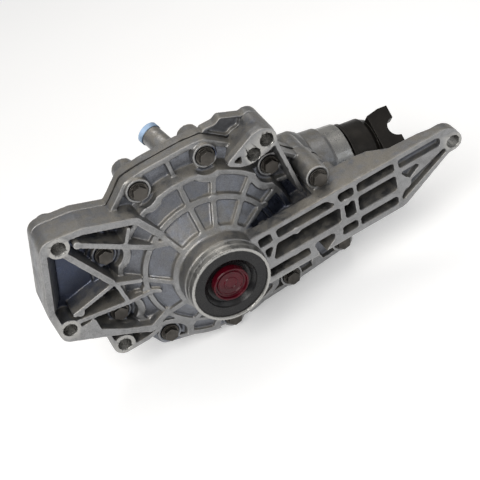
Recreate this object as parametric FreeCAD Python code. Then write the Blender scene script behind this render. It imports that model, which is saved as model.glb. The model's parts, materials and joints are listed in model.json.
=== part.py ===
import FreeCAD, Part
import math
import os

# Front axle differential carrier, in millimetres.
# Origin: centre of the front seal boss, on its machined face, on the output axis.
# +X runs along the long ladder arm, +Y runs into the carrier along the output axis, +Z is up.

# Fits and clearances
running_gap = 0.05
thread_gap = 0.05
bolt_hole_gap = 0.4
film_gap = 0.8

# Split joint between the two castings
split_y = 84.5
sealant_thick = 0.5
flange_thick = 14.0
bolt_boss_rise = 3.0
lip_wide = 6.0
flange_floor_y = 77.0
rear_flange_thick = 13.5
flange_ribs = [(2, 100, 2, 130), (96, -52, 140, -72), (-66, 86, -77, 104), (66, 84, 76, 99), (104, 36, 128, 30)]
flange_rib_wide = 5.0
flange_outline = [
    (-116, 76, 12), (-67, 113, 10), (-47, 131, 12), (-23, 133, 14), (25, 133, 14), (47, 130, 8),
    (70, 110, 6), (113, 76, 12), (135, 52, 8), (158, 32, 12), (164, -20, 10), (162, -96, 14), (140, -101, 10),
    (78, -107, 12), (30, -110, 8), (-3, -114, 7), (-28, -108, 8), (-60, -98, 10), (-90, -88, 12),
    (-98, -70, 8), (-129, -24, 12), (-131, 2, 12)]

# Cover bolts, M10 with flanged hexagon heads; the long one stands on the arm
arm_bolt = (137, 40)
arm_bolt_seat_y = 37.0
bolt_places = [
    (-100, 67), (-115, -9), (-78, -73), (-5, -101), (76, -92),
    (147, -84), arm_bolt, (100, 64), (40, 114), (-38, 116)]
bolt_r = 5.0
bolt_flange_r = 10.2
bolt_flange_high = 2.2
bolt_head_across = 14.6
bolt_head_high = 8.2
bolt_boss_r = 14.0
spot_face_r = 11.4
spot_face_deep = 1.5
bay_r = 19.0
bay_wall = 8.0
bay_floor_y = 69.0
rear_bolt_boss_r = 13.0
rear_bolt_boss_y = 117.0
bolt_grip_in_rear = 11.0
dowel_places = [(-72, 94), (112, -95)]
dowel_r = 4.0
dowel_long = 16.0
dowel_boss_r = 7.5

# Front cover: seal boss and ribbed cone
boss_r = 45.0
boss_half_y = 8.0
boss_half_r = 46.0
boss_step_y = 15.0
boss_base_r = 47.5
bead_r = 52.3
bead_y = 34.0
mid_ring_r = 78.0
mid_ring_y = 51.0
outer_ring_r = 102.0
outer_ring_y = 59.8
skirt_r = 109.5
panel_drop = 4.2
ring_rib_wide = 6.0
radial_rib_wide = 6.2
cavity_r = 97.0
cavity_floor_y = 82.0
cavity_step_r = 84.0
cavity_step_y = 70.0
cavity_mid_r = 72.0
cavity_mid_y = 59.0
cavity_neck_r = 47.0
cavity_neck_y = 50.0

# Ribs of the cone: (start x, start z, end x, end z)
cone_ribs = [
    (0, 46, 2, 131), (12, 46, 39, 92), (28, 37, 75, 65.5), (40, 27.5, 93, 34), (-26, 40, -56, 96),
    (-38, 56, -53, 57), (-53, 57, -62, 64), (-46, 12, -74, 22), (-74, 22, -104, 37), (-68, 5, -90, 8),
    (-46, -15, -68, -33), (-68, -33, -94, -41), (-30, -40, -60, -80), (-6, -46, -7, -98), (26, -42, 56, -84)]

# Ejector pin pads on the rib crests: (x, z)
cone_pads = [(27, 73), (-53, 57), (-79, 10), (75, 30), (-69, -34)]
pad_r = 4.4
pad_rise = 0.5

# Left bracket
bracket_y = 49.0
bracket_floor_y = 76.0
bracket_outline = [
    (-153, 129, 14), (-107, 122, 8), (-52, 100, 6), (-22, 42, 2), (-15, 30, 2), (-30, -15, 2),
    (-52, -26, 4), (-92, -45, 4), (-141, -18, 5), (-182, 4, 12), (-182, 45, 16)]
foot_outline = [(-141, -8, 3), (-141, -62.5, 12.5), (-100, -62, 6), (-84, -58, 6), (-68, -32, 5), (-95, -34, 3)]
bracket_wall = 8.0
foot_wall = 5.5
bracket_ribs = [
    (-119, 106, -53, 57, 6.5), (-134, 101, -107, 43, 7.0), (-66, 92, -76, 76, 4.5), (-106, 40, -157, 29, 5.0),
    (-158, 19, -100, 8, 5.5), (-100, 8, -72, 5, 5.0), (-104, 38, -102, 12, 5.0), (-104, 38, -80, 26, 5.0),
    (-141, -8, -95, -42, 5.5)]
bracket_pads = [(-151, 28), (-119, 106)]
wall_slope = [(-182, 45), (-153, 129)]
slope_wide = 20.0
gusset_outline = [(-176, 10, 3), (-141, 12, 2), (-141, -16, 3)]
upper_hole = (-137.0, 114.0)
lower_hole = (-169.5, 15.0)
foot_hole = (-128.0, -50.0)
foot_y = 60.0
mount_hole_r = 7.8
mount_boss_r = 12.5

# Top lug with two holes
lug_y = 42.0
lug_holes = [(101.3, 111.1), (83.0, 103.0)]
lug_outline = [
    (50, 107, 4), (88, 125.5, 5), (101, 127, 13), (114, 118, 12), (112, 102, 6), (100, 97, 8), (76, 93, 6),
    (64, 97, 4)]
lug_root = [
    (71, 104, 3), (87, 113, 3), (98, 120, 9), (112, 117, 10), (112, 102, 6), (100, 97, 8), (84, 93, 6),
    (73, 96, 3)]
lug_pocket = [(60, 106, 1), (69.5, 109.5, 1), (68.5, 99.5, 1)]
lug_pocket_deep = 22.0
lug_rib = (109, 104, 118, 26)
lug_rib_wide = 5.0
lug_plate = 10.0
lug_rib_low_y = 47.0
rear_lug_outline = [
    (46, 104, 6), (50, 131, 4), (66, 130, 6), (73, 134, 5), (99, 122, 6), (112, 118, 10), (119, 100, 12),
    (114, 76, 8), (70, 86, 8)]
rear_lug_panel = [(53, 128, 2), (66, 128, 2), (73, 132, 2), (96, 121, 2), (88, 114.5, 2), (73, 111, 2)]
panel_deep = 5.0

# Ladder arm
arm_y = 16.0
arm_top_z = 27.5
arm_low_z = -40.0
arm_root_x = 40.0
arm_taper_x = 216.0
arm_hole = (288.1, 6.2)
arm_eye_r = 11.5
arm_eye_thick = 16.0
arm_low_end = (279, -6)
arm_back = [
    (60, 84.5), (163, 84.5), (163, 55), (188, 53), (202, 50), (211, 43.5), (222, 36), (257, 33.5),
    (271, 30), (302, 30)]
arm_floor = [(150, 70.5), (158, 50), (188, 48), (202, 45), (211, 38.5), (216, 24), (302, 24)]
arm_bevel = [(30, 29), (58, 6), (90, 6), (90, 29)]
arm_bevel_end_x = 124.0
arm_slots = [
    [(47, 20.5, 1), (61, 20.5, 1), (61, 11.2, 1), (47, 11.2, 1)],
    [(69, 20.5, 2), (131, 20.5, 5), (138, 12.5, 2), (136, 11.2, 1), (69, 11.2, 2)],
    [(145, 20.5, 2), (163.5, 20.5, 2), (162, 11.2, 2), (146, 11.2, 2)],
    [(169, 20.5, 2), (214.5, 20.5, 2), (213.5, 11.2, 2), (168, 11.2, 2)],
    [(221, 20.5, 2), (274, 20.5, 4), (272, 11.2, 3), (221, 11.2, 2)],
    [(50.5, 3.5, 1), (59, 3.5, 1), (50.5, -8, 1)],
    [(65, 3.5, 2), (142.5, 3.5, 2), (139, -13.5, 3), (56, -13.5, 2)],
    [(149, 3.5, 2), (160.5, 3.5, 2), (158.5, -13.5, 2), (147, -13.5, 2)],
    [(166.5, 3.5, 2), (213, 3.5, 2), (211, -13.5, 2), (164, -13.5, 2)],
    [(221, 3.5, 1), (247, 3.5, 2), (228, -8, 1)],
    [(46, -23.5, 2), (95, -23.5, 2), (95, -32, 2), (44, -32, 2)],
    [(103, -23.5, 3), (128, -23.5, 3), (126, -30, 3), (106, -44, 2)],
    [(139, -23.5, 3), (157, -23.5, 2), (156, -32, 2), (137, -32, 2)],
    [(162.5, -23.5, 2), (209, -23.5, 2), (208, -32.5, 2), (161, -32.5, 2)],
    [(213.5, -31.5, 1), (277, -1, 1.5), (276, 3.5, 1), (229, -12.5, 4), (217, -24, 2)]]
slot_grow = 0.6
arm_pads = [(90, 7), (152, 7), (80, -18.5), (134, -26)]
arm_big_pad = (222, -12, 8.0)

# Rear carrier
rear_bowl_r = 104.0
rear_bowl_end_y = 122.0
rear_barrel_r = 67.0
rear_barrel_y = 156.0
rear_boss_r = 49.0
rear_boss_root_y = 186.0
rear_face_y = 222.0
rear_wall = 7.0
rear_rib_wide = 5.0
rear_rib_count = 9

# Pinion nose, along the pinion axis from the axis crossing
pinion_y = 138.0
pinion_tilt = 10.0
nose_profile = [(60, 54), (150, 54), (156, 51), (158, 47.5), (180, 46.5), (182, 44.5), (204, 43.5)]
neck_end = 204.0

# Final drive gears
ring_teeth = 41
pinion_teeth = 11
ring_pitch_r = 92.0
face_width = 27.0
pressure_angle = 22.5
ring_addendum = 2.0
pinion_addendum = 4.9
tip_clearance = 0.9
profile_shift = 0.325
backlash = 0.24
ring_back_y = 97.0
ring_bore_r = 56.0

# Differential gears
side_teeth = 16
spider_teeth = 10
side_pitch_r = 30.0
diff_face_width = 11.0
side_addendum = 2.6
spider_addendum = 4.2
diff_shift = 0.25
diff_backlash = 0.22
cross_pin_r = 8.0
spline_r = 14.5
side_hub_r = 19.0

# Differential case
case_r = 50.0
case_flange_r = 74.0
case_flange_thick = 8.0
case_bore_r = 40.0
case_hub_bore_r = 19.05
ring_bolt_circle_r = 64.5
ring_bolt_count = 10
ring_bolt_r = 5.0

# Side bearings: outer radius, bore radius, width, raceway radius, raceway rise, roller radius
side_cup_r = 37.5
side_cone_r = 23.0
side_bearing_wide = 18.0
side_race_r = 26.0
side_race_rise = 2.6
side_roller_r = 3.0
front_bearing_y = 31.0
rear_bearing_y = 184.0
roller_count = 14
roller_gap = 0.03
washer_thick = 1.2

# Pinion bearings, spacer, seal and yoke
head_cup_r = 36.0
head_cone_r = 17.5
head_bearing_at = 98.0
head_bearing_wide = 22.0
head_race_r = 22.0
head_roller_r = 4.2
tail_cup_r = 33.5
tail_cone_r = 15.5
tail_bearing_at = 164.0
tail_bearing_wide = 19.0
tail_race_r = 20.0
tail_roller_r = 4.1
pinion_race_rise = 3.2
spacer_start = 128.0
spline_shaft_r = 14.0
thread_shaft_r = 10.0
pinion_seal_r = 34.0
pinion_seal_wide = 9.0
yoke_hub_r = 22.5
yoke_face = 207.0
shield_r = 41.0
shield_end = 243.0
cross_at = 268.0
cross_turn = 54.0
ear_out = 41.0
ear_thick = 13.0
ear_half_wide = 28.0
cup_r = 11.5
ear_root = 240.0
waist_at = 235.0
waist_r = 37.0
yoke_hollow_r = 24.0
strap_hole_r = 4.0
strap_hole_deep = 16.0
pinion_nut_at = 222.0
pinion_nut_high = 13.0
pinion_nut_across = 30.0
pinion_washer_thick = 3.0

# Output seals and plug
seal_r = 41.5
seal_front_y = 2.0
seal_thick = 11.5
seal_lip_r = 17.6
groove_r = 30.0
plug_rim_r = 21.4
plug_wall = 1.6
plug_deep = 12.0

# Vent pipe and plugs
pipe_foot = (16.0, 113.6, 105.0)
pipe_way = (-0.232, 0.91, 0.342)
pipe_r = 12.0
pipe_bore_r = 8.5
pipe_long = 40.0
pipe_seat = 4.0
pipe_collar_r = 14.5
pipe_collar_end = 9.0
pipe_collar_start = -13.0
pipe_bore_start = -9.0
cap_long = 5.0
cap_wall = 1.0
plug_r = 10.0
plug_boss_r = 16.0
plug_head_across = 17.0
plug_head_high = 6.0
fill_place = (139.0, -30.0)
fill_face_in = 12.0
fill_bore_long = 44.0
drain_y = 135.0
drain_face_out = 2.0
drain_bore_long = 40.0

X = FreeCAD.Vector(1, 0, 0)
Y = FreeCAD.Vector(0, 1, 0)
Z = FreeCAD.Vector(0, 0, 1)
ORIGIN = FreeCAD.Vector(0, 0, 0)


def vec(x, y, z):
    return FreeCAD.Vector(x, y, z)


def rounded_wire(corners, lift):
    """Closed wire through (u, v, corner radius) points, placed by the lift function."""
    count = len(corners)
    starts = []
    ends = []
    middles = []
    for i, (u, v, radius) in enumerate(corners):
        before = corners[i - 1]
        after = corners[(i + 1) % count]
        here = vec(u, v, 0)
        back = vec(before[0], before[1], 0) - here
        ahead = vec(after[0], after[1], 0) - here
        back_unit = back * (1 / back.Length)
        ahead_unit = ahead * (1 / ahead.Length)
        turn = back_unit.getAngle(ahead_unit)
        cut = min(radius / math.tan(turn / 2), back.Length * 0.49, ahead.Length * 0.49)
        real_radius = cut * math.tan(turn / 2)
        start = here + back_unit * cut
        end = here + ahead_unit * cut
        bisector = back_unit + ahead_unit
        if cut < 1e-4 or bisector.Length < 1e-6:
            starts.append(here)
            ends.append(here)
            middles.append(None)
            continue
        bisector = bisector * (1 / bisector.Length)
        centre = here + bisector * (real_radius / math.sin(turn / 2))
        starts.append(start)
        ends.append(end)
        middles.append(centre - bisector * real_radius)
    edges = []
    for i in range(count):
        if middles[i] is not None:
            edges.append(Part.Arc(lift(starts[i]), lift(middles[i]), lift(ends[i])).toShape())
        following = starts[(i + 1) % count]
        if (following - ends[i]).Length > 1e-6:
            edges.append(Part.LineSegment(lift(ends[i]), lift(following)).toShape())
    return Part.Wire(edges)


def prism_y(corners, y0, y1):
    """Prism along Y over an outline of (x, z, corner radius)."""
    wire = rounded_wire(corners, lambda p: vec(p.x, y0, p.y))
    return Part.Face(wire).extrude(Y * (y1 - y0))


def plan_z(points, z0, z1):
    """Prism along Z over a plan of (x, y) points."""
    loop = [vec(x, y, z0) for x, y in points]
    return Part.Face(Part.makePolygon(loop + loop[:1])).extrude(Z * (z1 - z0))


def rod_y(radius, y0, y1, x=0.0, z=0.0):
    return Part.makeCylinder(radius, y1 - y0, vec(x, y0, z), Y)


def tube_y(outer, inner, y0, y1, x=0.0, z=0.0):
    return rod_y(outer, y0, y1, x, z).cut(rod_y(inner, y0, y1, x, z))


def turned_y(profile):
    """Solid turned about the output axis from (radius, y) points."""
    loop = [vec(r, y, 0) for r, y in profile]
    return Part.Face(Part.makePolygon(loop + loop[:1])).revolve(ORIGIN, Y, 360)


def turned_x(profile):
    """Solid turned about the local pinion axis from (distance, radius) points."""
    loop = [vec(s, r, 0) for s, r in profile]
    return Part.Face(Part.makePolygon(loop + loop[:1])).revolve(ORIGIN, X, 360)


def rod_x(radius, s0, s1):
    return Part.makeCylinder(radius, s1 - s0, vec(s0, 0, 0), X)


def bar_y(x0, z0, x1, z1, wide, y0, y1):
    """Rib along a line in the XZ plane, with round ends."""
    along = vec(x1 - x0, 0, z1 - z0)
    side = vec(-along.z, 0, along.x) * (wide / 2 / along.Length)
    a = vec(x0, y0, z0)
    b = vec(x1, y0, z1)
    tip = along * (wide / 2 / along.Length)
    edges = [
        Part.LineSegment(a + side, b + side).toShape(),
        Part.Arc(b + side, b + tip, b - side).toShape(),
        Part.LineSegment(b - side, a - side).toShape(),
        Part.Arc(a - side, a - tip, a + side).toShape()]
    return Part.Face(Part.Wire(edges)).extrude(Y * (y1 - y0))


def fuse_all(shapes):
    return shapes[0].multiFuse(shapes[1:]).removeSplitter()


def cut_all(shape, tools):
    return shape.cut(tools)


def at_pinion(shape):
    """Moves a shape made along local X with the axes crossing at the origin to its place."""
    placed = shape.copy()
    placed.rotate(ORIGIN, Y, pinion_tilt)
    placed.translate(Y * pinion_y)
    return placed


# Front cover

def cone_profile(drop):
    """Outer surface of the cover's cone, as (radius, y), lowered by a panel drop."""
    half = ring_rib_wide / 2
    return [
        (0, boss_step_y), (boss_base_r, boss_step_y), (boss_base_r, bead_y - 3 + drop), (bead_r, bead_y + drop),
        (mid_ring_r, mid_ring_y + drop), (outer_ring_r - half, outer_ring_y + drop),
        (outer_ring_r + half, outer_ring_y + drop), (skirt_r, flange_floor_y), (skirt_r, split_y), (0, split_y)]


def ring_rib(inner, outer):
    return tube_y(outer, inner, 20, split_y)


def cover_cone():
    """Ribbed cone with its sunk panels, the ring ribs and a bay round each bolt."""
    half = ring_rib_wide / 2
    crest = turned_y(cone_profile(0))
    ribs = [ring_rib(bead_r - 6, bead_r + 1), ring_rib(mid_ring_r - half, mid_ring_r + half)]
    ribs.append(ring_rib(outer_ring_r - half, skirt_r))
    for x0, z0, x1, z1 in cone_ribs:
        ribs.append(bar_y(x0, z0, x1, z1, radial_rib_wide, 20, split_y))
    for x, z in bolt_places:
        ribs.append(tube_y(bay_r + bay_wall, bay_r, 20, split_y, x, z))
    panels = turned_y(cone_profile(panel_drop))
    raised = crest.common(fuse_all(ribs))
    bays = [rod_y(bay_r, 20, bay_floor_y, x, z) for x, z in bolt_places]
    return cut_all(fuse_all([panels, raised]), bays)


def bolt_seat(x, z):
    """Height of the face that a bolt head sits on."""
    if (x, z) == arm_bolt:
        return arm_bolt_seat_y
    return split_y - flange_thick - bolt_boss_rise


def cover_flange():
    """Flange with a lip along its edge, pockets inside the lip and bosses for bolts and dowels."""
    lip_y = split_y - flange_thick
    pocket = shrunk_outline(flange_outline, lip_wide, lip_y - 1, flange_floor_y)
    pocket = pocket.cut(rod_y(skirt_r - 2, 0, split_y))
    pieces = [prism_y(flange_outline, lip_y, split_y).cut(pocket)]
    for x0, z0, x1, z1 in flange_ribs:
        pieces.append(bar_y(x0, z0, x1, z1, flange_rib_wide, lip_y, split_y))
    for x, z in bolt_places:
        pieces.append(rod_y(bolt_boss_r, bolt_seat(x, z) - spot_face_deep, split_y, x, z))
    for x, z in dowel_places:
        pieces.append(rod_y(dowel_boss_r, lip_y, split_y, x, z))
    return fuse_all(pieces)


def hollow_rim(outline, wall, y0, y1):
    """Upright wall along an outline."""
    return prism_y(outline, y0, y1).cut(shrunk_outline(outline, wall, y0, y1))


def bracket_slope():
    """Sloping inner side of the bracket's long left wall."""
    start, end = (vec(x, 0, z) for x, z in wall_slope)
    along = end - start
    inward = vec(along.z, 0, -along.x) * (1 / along.Length)
    section = [(0, bracket_y), (bracket_wall, bracket_y + 1), (slope_wide, bracket_floor_y), (0, bracket_floor_y)]
    loop = [start + inward * wide + Y * y for wide, y in section]
    return Part.Face(Part.makePolygon(loop + loop[:1])).extrude(along)


def cover_bracket():
    floor = prism_y(bracket_outline, bracket_floor_y, split_y)
    pieces = [floor, prism_y(foot_outline, bracket_floor_y, split_y)]
    pieces.append(hollow_rim(bracket_outline, bracket_wall, bracket_y, split_y))
    pieces.append(hollow_rim(foot_outline, foot_wall, foot_y, split_y))
    pieces.append(bracket_slope().common(prism_y(bracket_outline, bracket_y, split_y)))
    for x0, z0, x1, z1, wide in bracket_ribs:
        pieces.append(bar_y(x0, z0, x1, z1, wide, bracket_y, split_y))
    for x, z in bracket_pads:
        pieces.append(rod_y(pad_r, bracket_y - pad_rise, split_y, x, z))
    for x, z in (upper_hole, lower_hole):
        pieces.append(rod_y(mount_boss_r, bracket_y, split_y, x, z))
    pieces.append(prism_y(gusset_outline, bracket_y, split_y))
    pieces.append(rod_y(mount_boss_r, foot_y, split_y, *foot_hole))
    return fuse_all(pieces)


def shrunk_outline(corners, inset, y0, y1):
    wire = rounded_wire(corners, lambda p: vec(p.x, y0, p.y))
    smaller = wire.makeOffset2D(-inset)
    return Part.Face(smaller).extrude(Y * (y1 - y0))


def cover_lug():
    """Top lug with its rib, whose crest falls from the lug towards the arm."""
    ends = []
    for corners, y in ((lug_outline, lug_y), (lug_outline, lug_y + lug_plate), (lug_root, split_y)):
        ends.append(rounded_wire(corners, lambda p, y=y: vec(p.x, y, p.y)))
    lug = Part.makeLoft(ends[1:], True, True).fuse(prism_y(lug_outline, lug_y, lug_y + lug_plate))
    x0, z0, x1, z1 = lug_rib
    rib = bar_y(x0, z0, x1, z1, lug_rib_wide, arm_y, split_y)
    side = [vec(0, lug_y, z0 + 5), vec(0, lug_y, z0 - 12), vec(0, lug_rib_low_y, z1 - 5)]
    side += [vec(0, split_y, z1 - 5), vec(0, split_y, z0 + 5)]
    envelope = Part.Face(Part.makePolygon(side + side[:1])).extrude(X * (x1 + 20))
    return fuse_all([lug, rib.common(envelope)])


def arm_outline():
    hole_x, hole_z = arm_hole
    return [
        (arm_root_x, arm_top_z, 1), (hole_x + 6, arm_top_z, 22), (hole_x + arm_eye_r + 1, hole_z - 9, 13),
        (arm_low_end[0], arm_low_end[1], 6), (arm_taper_x, arm_low_z, 8), (arm_root_x, arm_low_z, 1)]


def cover_arm():
    hole_x, hole_z = arm_hole
    body = prism_y(arm_outline(), arm_y, split_y)
    plan = [(arm_root_x - 2, arm_y), (arm_back[-1][0], arm_y)] + arm_back[::-1] + [(arm_root_x - 2, split_y)]
    envelope = plan_z(plan, arm_low_z - 5, arm_top_z + 5)
    body = body.common(envelope)
    bevel = [vec(arm_root_x - 2, y, z) for y, z in arm_bevel]
    bevel = Part.Face(Part.makePolygon(bevel + bevel[:1])).extrude(X * (arm_bevel_end_x - arm_root_x + 2))
    eye = rod_y(arm_eye_r, arm_y, arm_y + arm_eye_thick, hole_x, hole_z)
    floor_line = [(arm_root_x - 2, split_y - flange_thick)] + arm_floor
    slot_plan = [(arm_root_x - 2, arm_y - 1), (arm_floor[-1][0], arm_y - 1)] + floor_line[::-1]
    slot_space = plan_z(slot_plan, arm_low_z - 10, arm_top_z + 5)
    slots = [shrunk_outline(slot, -slot_grow, arm_y - 1, split_y) for slot in arm_slots]
    slots = Part.makeCompound(slots).common(slot_space)
    body = body.cut([bevel, slots])
    pads = [rod_y(pad_r, arm_y - pad_rise, arm_y + 12, x, z) for x, z in arm_pads]
    big_x, big_z, big_r = arm_big_pad
    pads.append(rod_y(big_r, arm_y, arm_y + 18, big_x, big_z))
    return fuse_all([body, eye] + pads)


def cavity_cover():
    """Space inside the cover: ring gear chamber, bearing seat and seal bore."""
    return turned_y([
        (0, -1), (seal_r, -1), (seal_r, seal_front_y + seal_thick), (seal_r - 5, seal_front_y + seal_thick),
        (seal_r - 5, front_bearing_y - 4), (side_cup_r, front_bearing_y - 4),
        (side_cup_r, front_bearing_y + side_bearing_wide + 2), (cavity_neck_r, cavity_neck_y),
        (cavity_mid_r, cavity_mid_y), (cavity_step_r, cavity_step_y), (cavity_r, cavity_floor_y),
        (cavity_r, split_y + 1), (0, split_y + 1)])


def bolt_holes(y0, y1, radius):
    return [rod_y(radius, y0, y1, x, z) for x, z in bolt_places]


def dowel_holes():
    half = dowel_long / 2 + 0.5
    return [rod_y(dowel_r, split_y - half, split_y + half, x, z) for x, z in dowel_places]


def front_cover():
    boss = rod_y(boss_r, 0, boss_half_y + 1).fuse(rod_y(boss_half_r, boss_half_y, boss_step_y + 1))
    body = fuse_all([cover_cone(), boss, cover_flange(), cover_bracket(), cover_lug(), cover_arm()])
    pads = []
    for x, z in cone_pads:
        radius = math.hypot(x, z)
        pads.append(rod_y(pad_r, cone_height(radius) - pad_rise, split_y, x, z))
    body = fuse_all([body] + pads)
    tools = [cavity_cover()]
    tools += bolt_holes(0, split_y + 1, bolt_r + bolt_hole_gap)
    for x, z in bolt_places:
        tools.append(rod_y(spot_face_r, -5, bolt_seat(x, z), x, z))
    tools += dowel_holes()
    for x, z in (upper_hole, lower_hole, foot_hole):
        tools.append(rod_y(mount_hole_r, 0, split_y + 1, x, z))
    for x, z in lug_holes:
        tools.append(rod_y(mount_hole_r, 0, split_y + 1, x, z))
    tools.append(rod_y(mount_hole_r, 0, split_y + 1, *arm_hole))
    tools.append(prism_y(lug_pocket, lug_y - 1, lug_y + lug_pocket_deep))
    return cut_all(body, tools).removeSplitter()


def cone_height(radius):
    """Height of the rib crests on the cone at a radius."""
    line = [(bead_r, bead_y), (mid_ring_r, mid_ring_y), (outer_ring_r, outer_ring_y)]
    for (r0, y0), (r1, y1) in zip(line, line[1:]):
        if radius <= r1:
            return y0 + (y1 - y0) * (radius - r0) / (r1 - r0)
    return line[-1][1]


# Rear carrier

def rear_back():
    return split_y + sealant_thick


def rear_body():
    start = rear_back()
    return turned_y([
        (0, start), (rear_bowl_r, start), (rear_bowl_r, rear_bowl_end_y - 8), (rear_bowl_r - 6, rear_bowl_end_y),
        (rear_barrel_r, rear_barrel_y), (rear_barrel_r, rear_boss_root_y - 12),
        (rear_boss_r + 4, rear_boss_root_y), (rear_boss_r, rear_boss_root_y + 4), (rear_boss_r, rear_face_y),
        (0, rear_face_y)])


def rear_flange():
    start = rear_back()
    end = start + rear_flange_thick
    outlines = (flange_outline, bracket_outline, foot_outline, rear_lug_outline)
    pieces = [prism_y(outline, start, end) for outline in outlines]
    for x, z in bolt_places:
        pieces.append(rod_y(rear_bolt_boss_r, start, rear_bolt_boss_y, x, z))
    for x, z in (upper_hole, lower_hole, foot_hole):
        pieces.append(rod_y(mount_boss_r, start, end + 3, x, z))
    return fuse_all(pieces)


def nose_solid(grow=0.0):
    points = [(nose_profile[0][0], 0)] + [(s, r + grow) for s, r in nose_profile] + [(neck_end, 0)]
    return at_pinion(turned_x(points))


def nose_cavity():
    head_end = head_bearing_at + head_bearing_wide
    tail_end = tail_bearing_at + tail_bearing_wide
    return at_pinion(turned_x([
        (40, 0), (40, 42), (head_bearing_at - 2, 42), (head_bearing_at - 2, head_cup_r),
        (head_end, head_cup_r), (head_end, head_cup_r - 5), (head_end + 8, head_cup_r - 9),
        (tail_bearing_at - 4, head_cup_r - 9), (tail_bearing_at, tail_cup_r - 5), (tail_bearing_at, tail_cup_r),
        (tail_end, tail_cup_r), (neck_end - pinion_seal_wide - 1, tail_cup_r),
        (neck_end - pinion_seal_wide - 1, pinion_seal_r), (neck_end + 1, pinion_seal_r), (neck_end + 1, 0)]))


def rear_cavity():
    start = rear_back() - 1
    return turned_y([
        (0, start), (cavity_r, start), (cavity_r, rear_bowl_end_y - 7),
        (rear_barrel_r - rear_wall, rear_barrel_y + 2), (rear_barrel_r - rear_wall, rear_boss_root_y - 15),
        (side_cup_r + 4, rear_bearing_y - 4), (side_cup_r, rear_bearing_y - 2),
        (side_cup_r, rear_bearing_y + side_bearing_wide), (seal_r - 5, rear_bearing_y + side_bearing_wide),
        (seal_r - 5, rear_face_y - seal_front_y - seal_thick), (seal_r, rear_face_y - seal_front_y - seal_thick),
        (seal_r, rear_face_y + 1), (0, rear_face_y + 1)])


def rear_ribs():
    """Webs from the flange up the bowl to the barrel."""
    ribs = []
    end = rear_back() + rear_flange_thick
    for k in range(rear_rib_count):
        angle = 50 + 260 * k / (rear_rib_count - 1)
        web = plan_z([
            (rear_boss_r, end - 3), (rear_bowl_r + 10, end - 3), (rear_bowl_r + 4, rear_bowl_end_y),
            (rear_barrel_r + 5, rear_barrel_y + 4), (rear_barrel_r - 6, rear_boss_root_y),
            (rear_boss_r, rear_boss_root_y + 2)], -rear_rib_wide / 2, rear_rib_wide / 2)
        web.rotate(ORIGIN, Y, -angle)
        ribs.append(web)
    return ribs


def nose_webs():
    """Stiffening webs along the pinion nose."""
    webs = []
    for angle in (0, 90, 270):
        web = plan_z([(70, 40), (70, 66), (120, 62), (156, 51), (156, 40)], -2.5, 2.5)
        web.rotate(ORIGIN, X, angle)
        webs.append(at_pinion(web))
    return webs


def pipe_rod(radius, start, end):
    """Cylinder on the vent pipe's axis between two distances from its foot."""
    way = vec(*pipe_way)
    way.normalize()
    return Part.makeCylinder(radius, end - start, vec(*pipe_foot) + way * start, way)


def fill_face_x():
    return fill_face_in - rear_bowl_r


def drain_face_z():
    return -rear_bowl_r - drain_face_out


def rear_carrier():
    body = fuse_all([rear_body(), rear_flange(), nose_solid()] + rear_ribs() + nose_webs())
    fill_y, fill_z = fill_place
    bosses = [pipe_rod(pipe_collar_r, pipe_collar_start, pipe_collar_end)]
    bosses.append(Part.makeCylinder(plug_boss_r, fill_bore_long - 8, vec(fill_face_x(), fill_y, fill_z), X))
    bosses.append(Part.makeCylinder(plug_boss_r, drain_bore_long - 10, vec(0, drain_y, drain_face_z()), Z))
    body = fuse_all([body] + bosses)
    start = rear_back() - 1
    in_front = plan_z([(-300, 0), (300, 0), (300, rear_back()), (-300, rear_back())], -300, 300)
    body = body.cut(in_front)
    tools = [rear_cavity(), nose_cavity()]
    tools += bolt_holes(start, start + bolt_grip_in_rear + 6, bolt_r + thread_gap)
    tools += dowel_holes()
    for x, z in (upper_hole, lower_hole, foot_hole):
        tools.append(rod_y(mount_hole_r, start, start + 60, x, z))
    for x, z in lug_holes:
        tools.append(rod_y(mount_hole_r, start, start + 60, x, z))
    tools.append(prism_y(rear_lug_panel, start, rear_back() + panel_deep))
    tools.append(pipe_rod(pipe_r, pipe_seat, pipe_long))
    tools.append(pipe_rod(pipe_bore_r, pipe_bore_start, pipe_seat + 1))
    tools.append(Part.makeCylinder(plug_r, fill_bore_long, vec(fill_face_x() - 1, fill_y, fill_z), X))
    tools.append(Part.makeCylinder(plug_r, drain_bore_long, vec(0, drain_y, drain_face_z() - 1), Z))
    return cut_all(body, tools).removeSplitter()


# Small pieces of the housing

def hexagon(across, y0, y1, x, z):
    radius = across / math.sqrt(3)
    corners = []
    for k in range(6):
        angle = math.radians(60 * k + 10)
        corners.append((x + radius * math.cos(angle), z + radius * math.sin(angle), 0))
    return prism_y(corners, y0, y1)


def cover_bolt(x, z):
    seat = bolt_seat(x, z)
    flange = rod_y(bolt_flange_r, seat - bolt_flange_high, seat, x, z)
    head = hexagon(bolt_head_across, seat - bolt_head_high, seat, x, z)
    shank = rod_y(bolt_r, seat, rear_back() + bolt_grip_in_rear, x, z)
    return fuse_all([flange, head, shank])


def vent_pipe():
    outside = pipe_rod(pipe_r - running_gap, pipe_seat, pipe_long)
    return outside.cut(pipe_rod(pipe_bore_r, pipe_seat - 1, pipe_long + 1))


def vent_cap():
    """Cap pushed over the end of the vent pipe."""
    start = pipe_long - cap_long
    skin = pipe_rod(pipe_r + cap_wall, start, pipe_long + cap_wall)
    return skin.cut(pipe_rod(pipe_r, start - 1, pipe_long))


def screw_plug():
    """Threaded plug with a flange and hexagon, on local Y with its seat at zero."""
    shank = rod_y(plug_r - thread_gap, 0, 12)
    flange = rod_y(plug_r + 4, -2.5, 0)
    head = hexagon(plug_head_across, -2.5 - plug_head_high, -2.5, 0, 0)
    return fuse_all([shank, flange, head])


def fill_plug():
    plug = screw_plug()
    plug.rotate(ORIGIN, Z, -90)
    plug.translate(vec(fill_face_x(), fill_place[0], fill_place[1]))
    return plug


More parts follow.
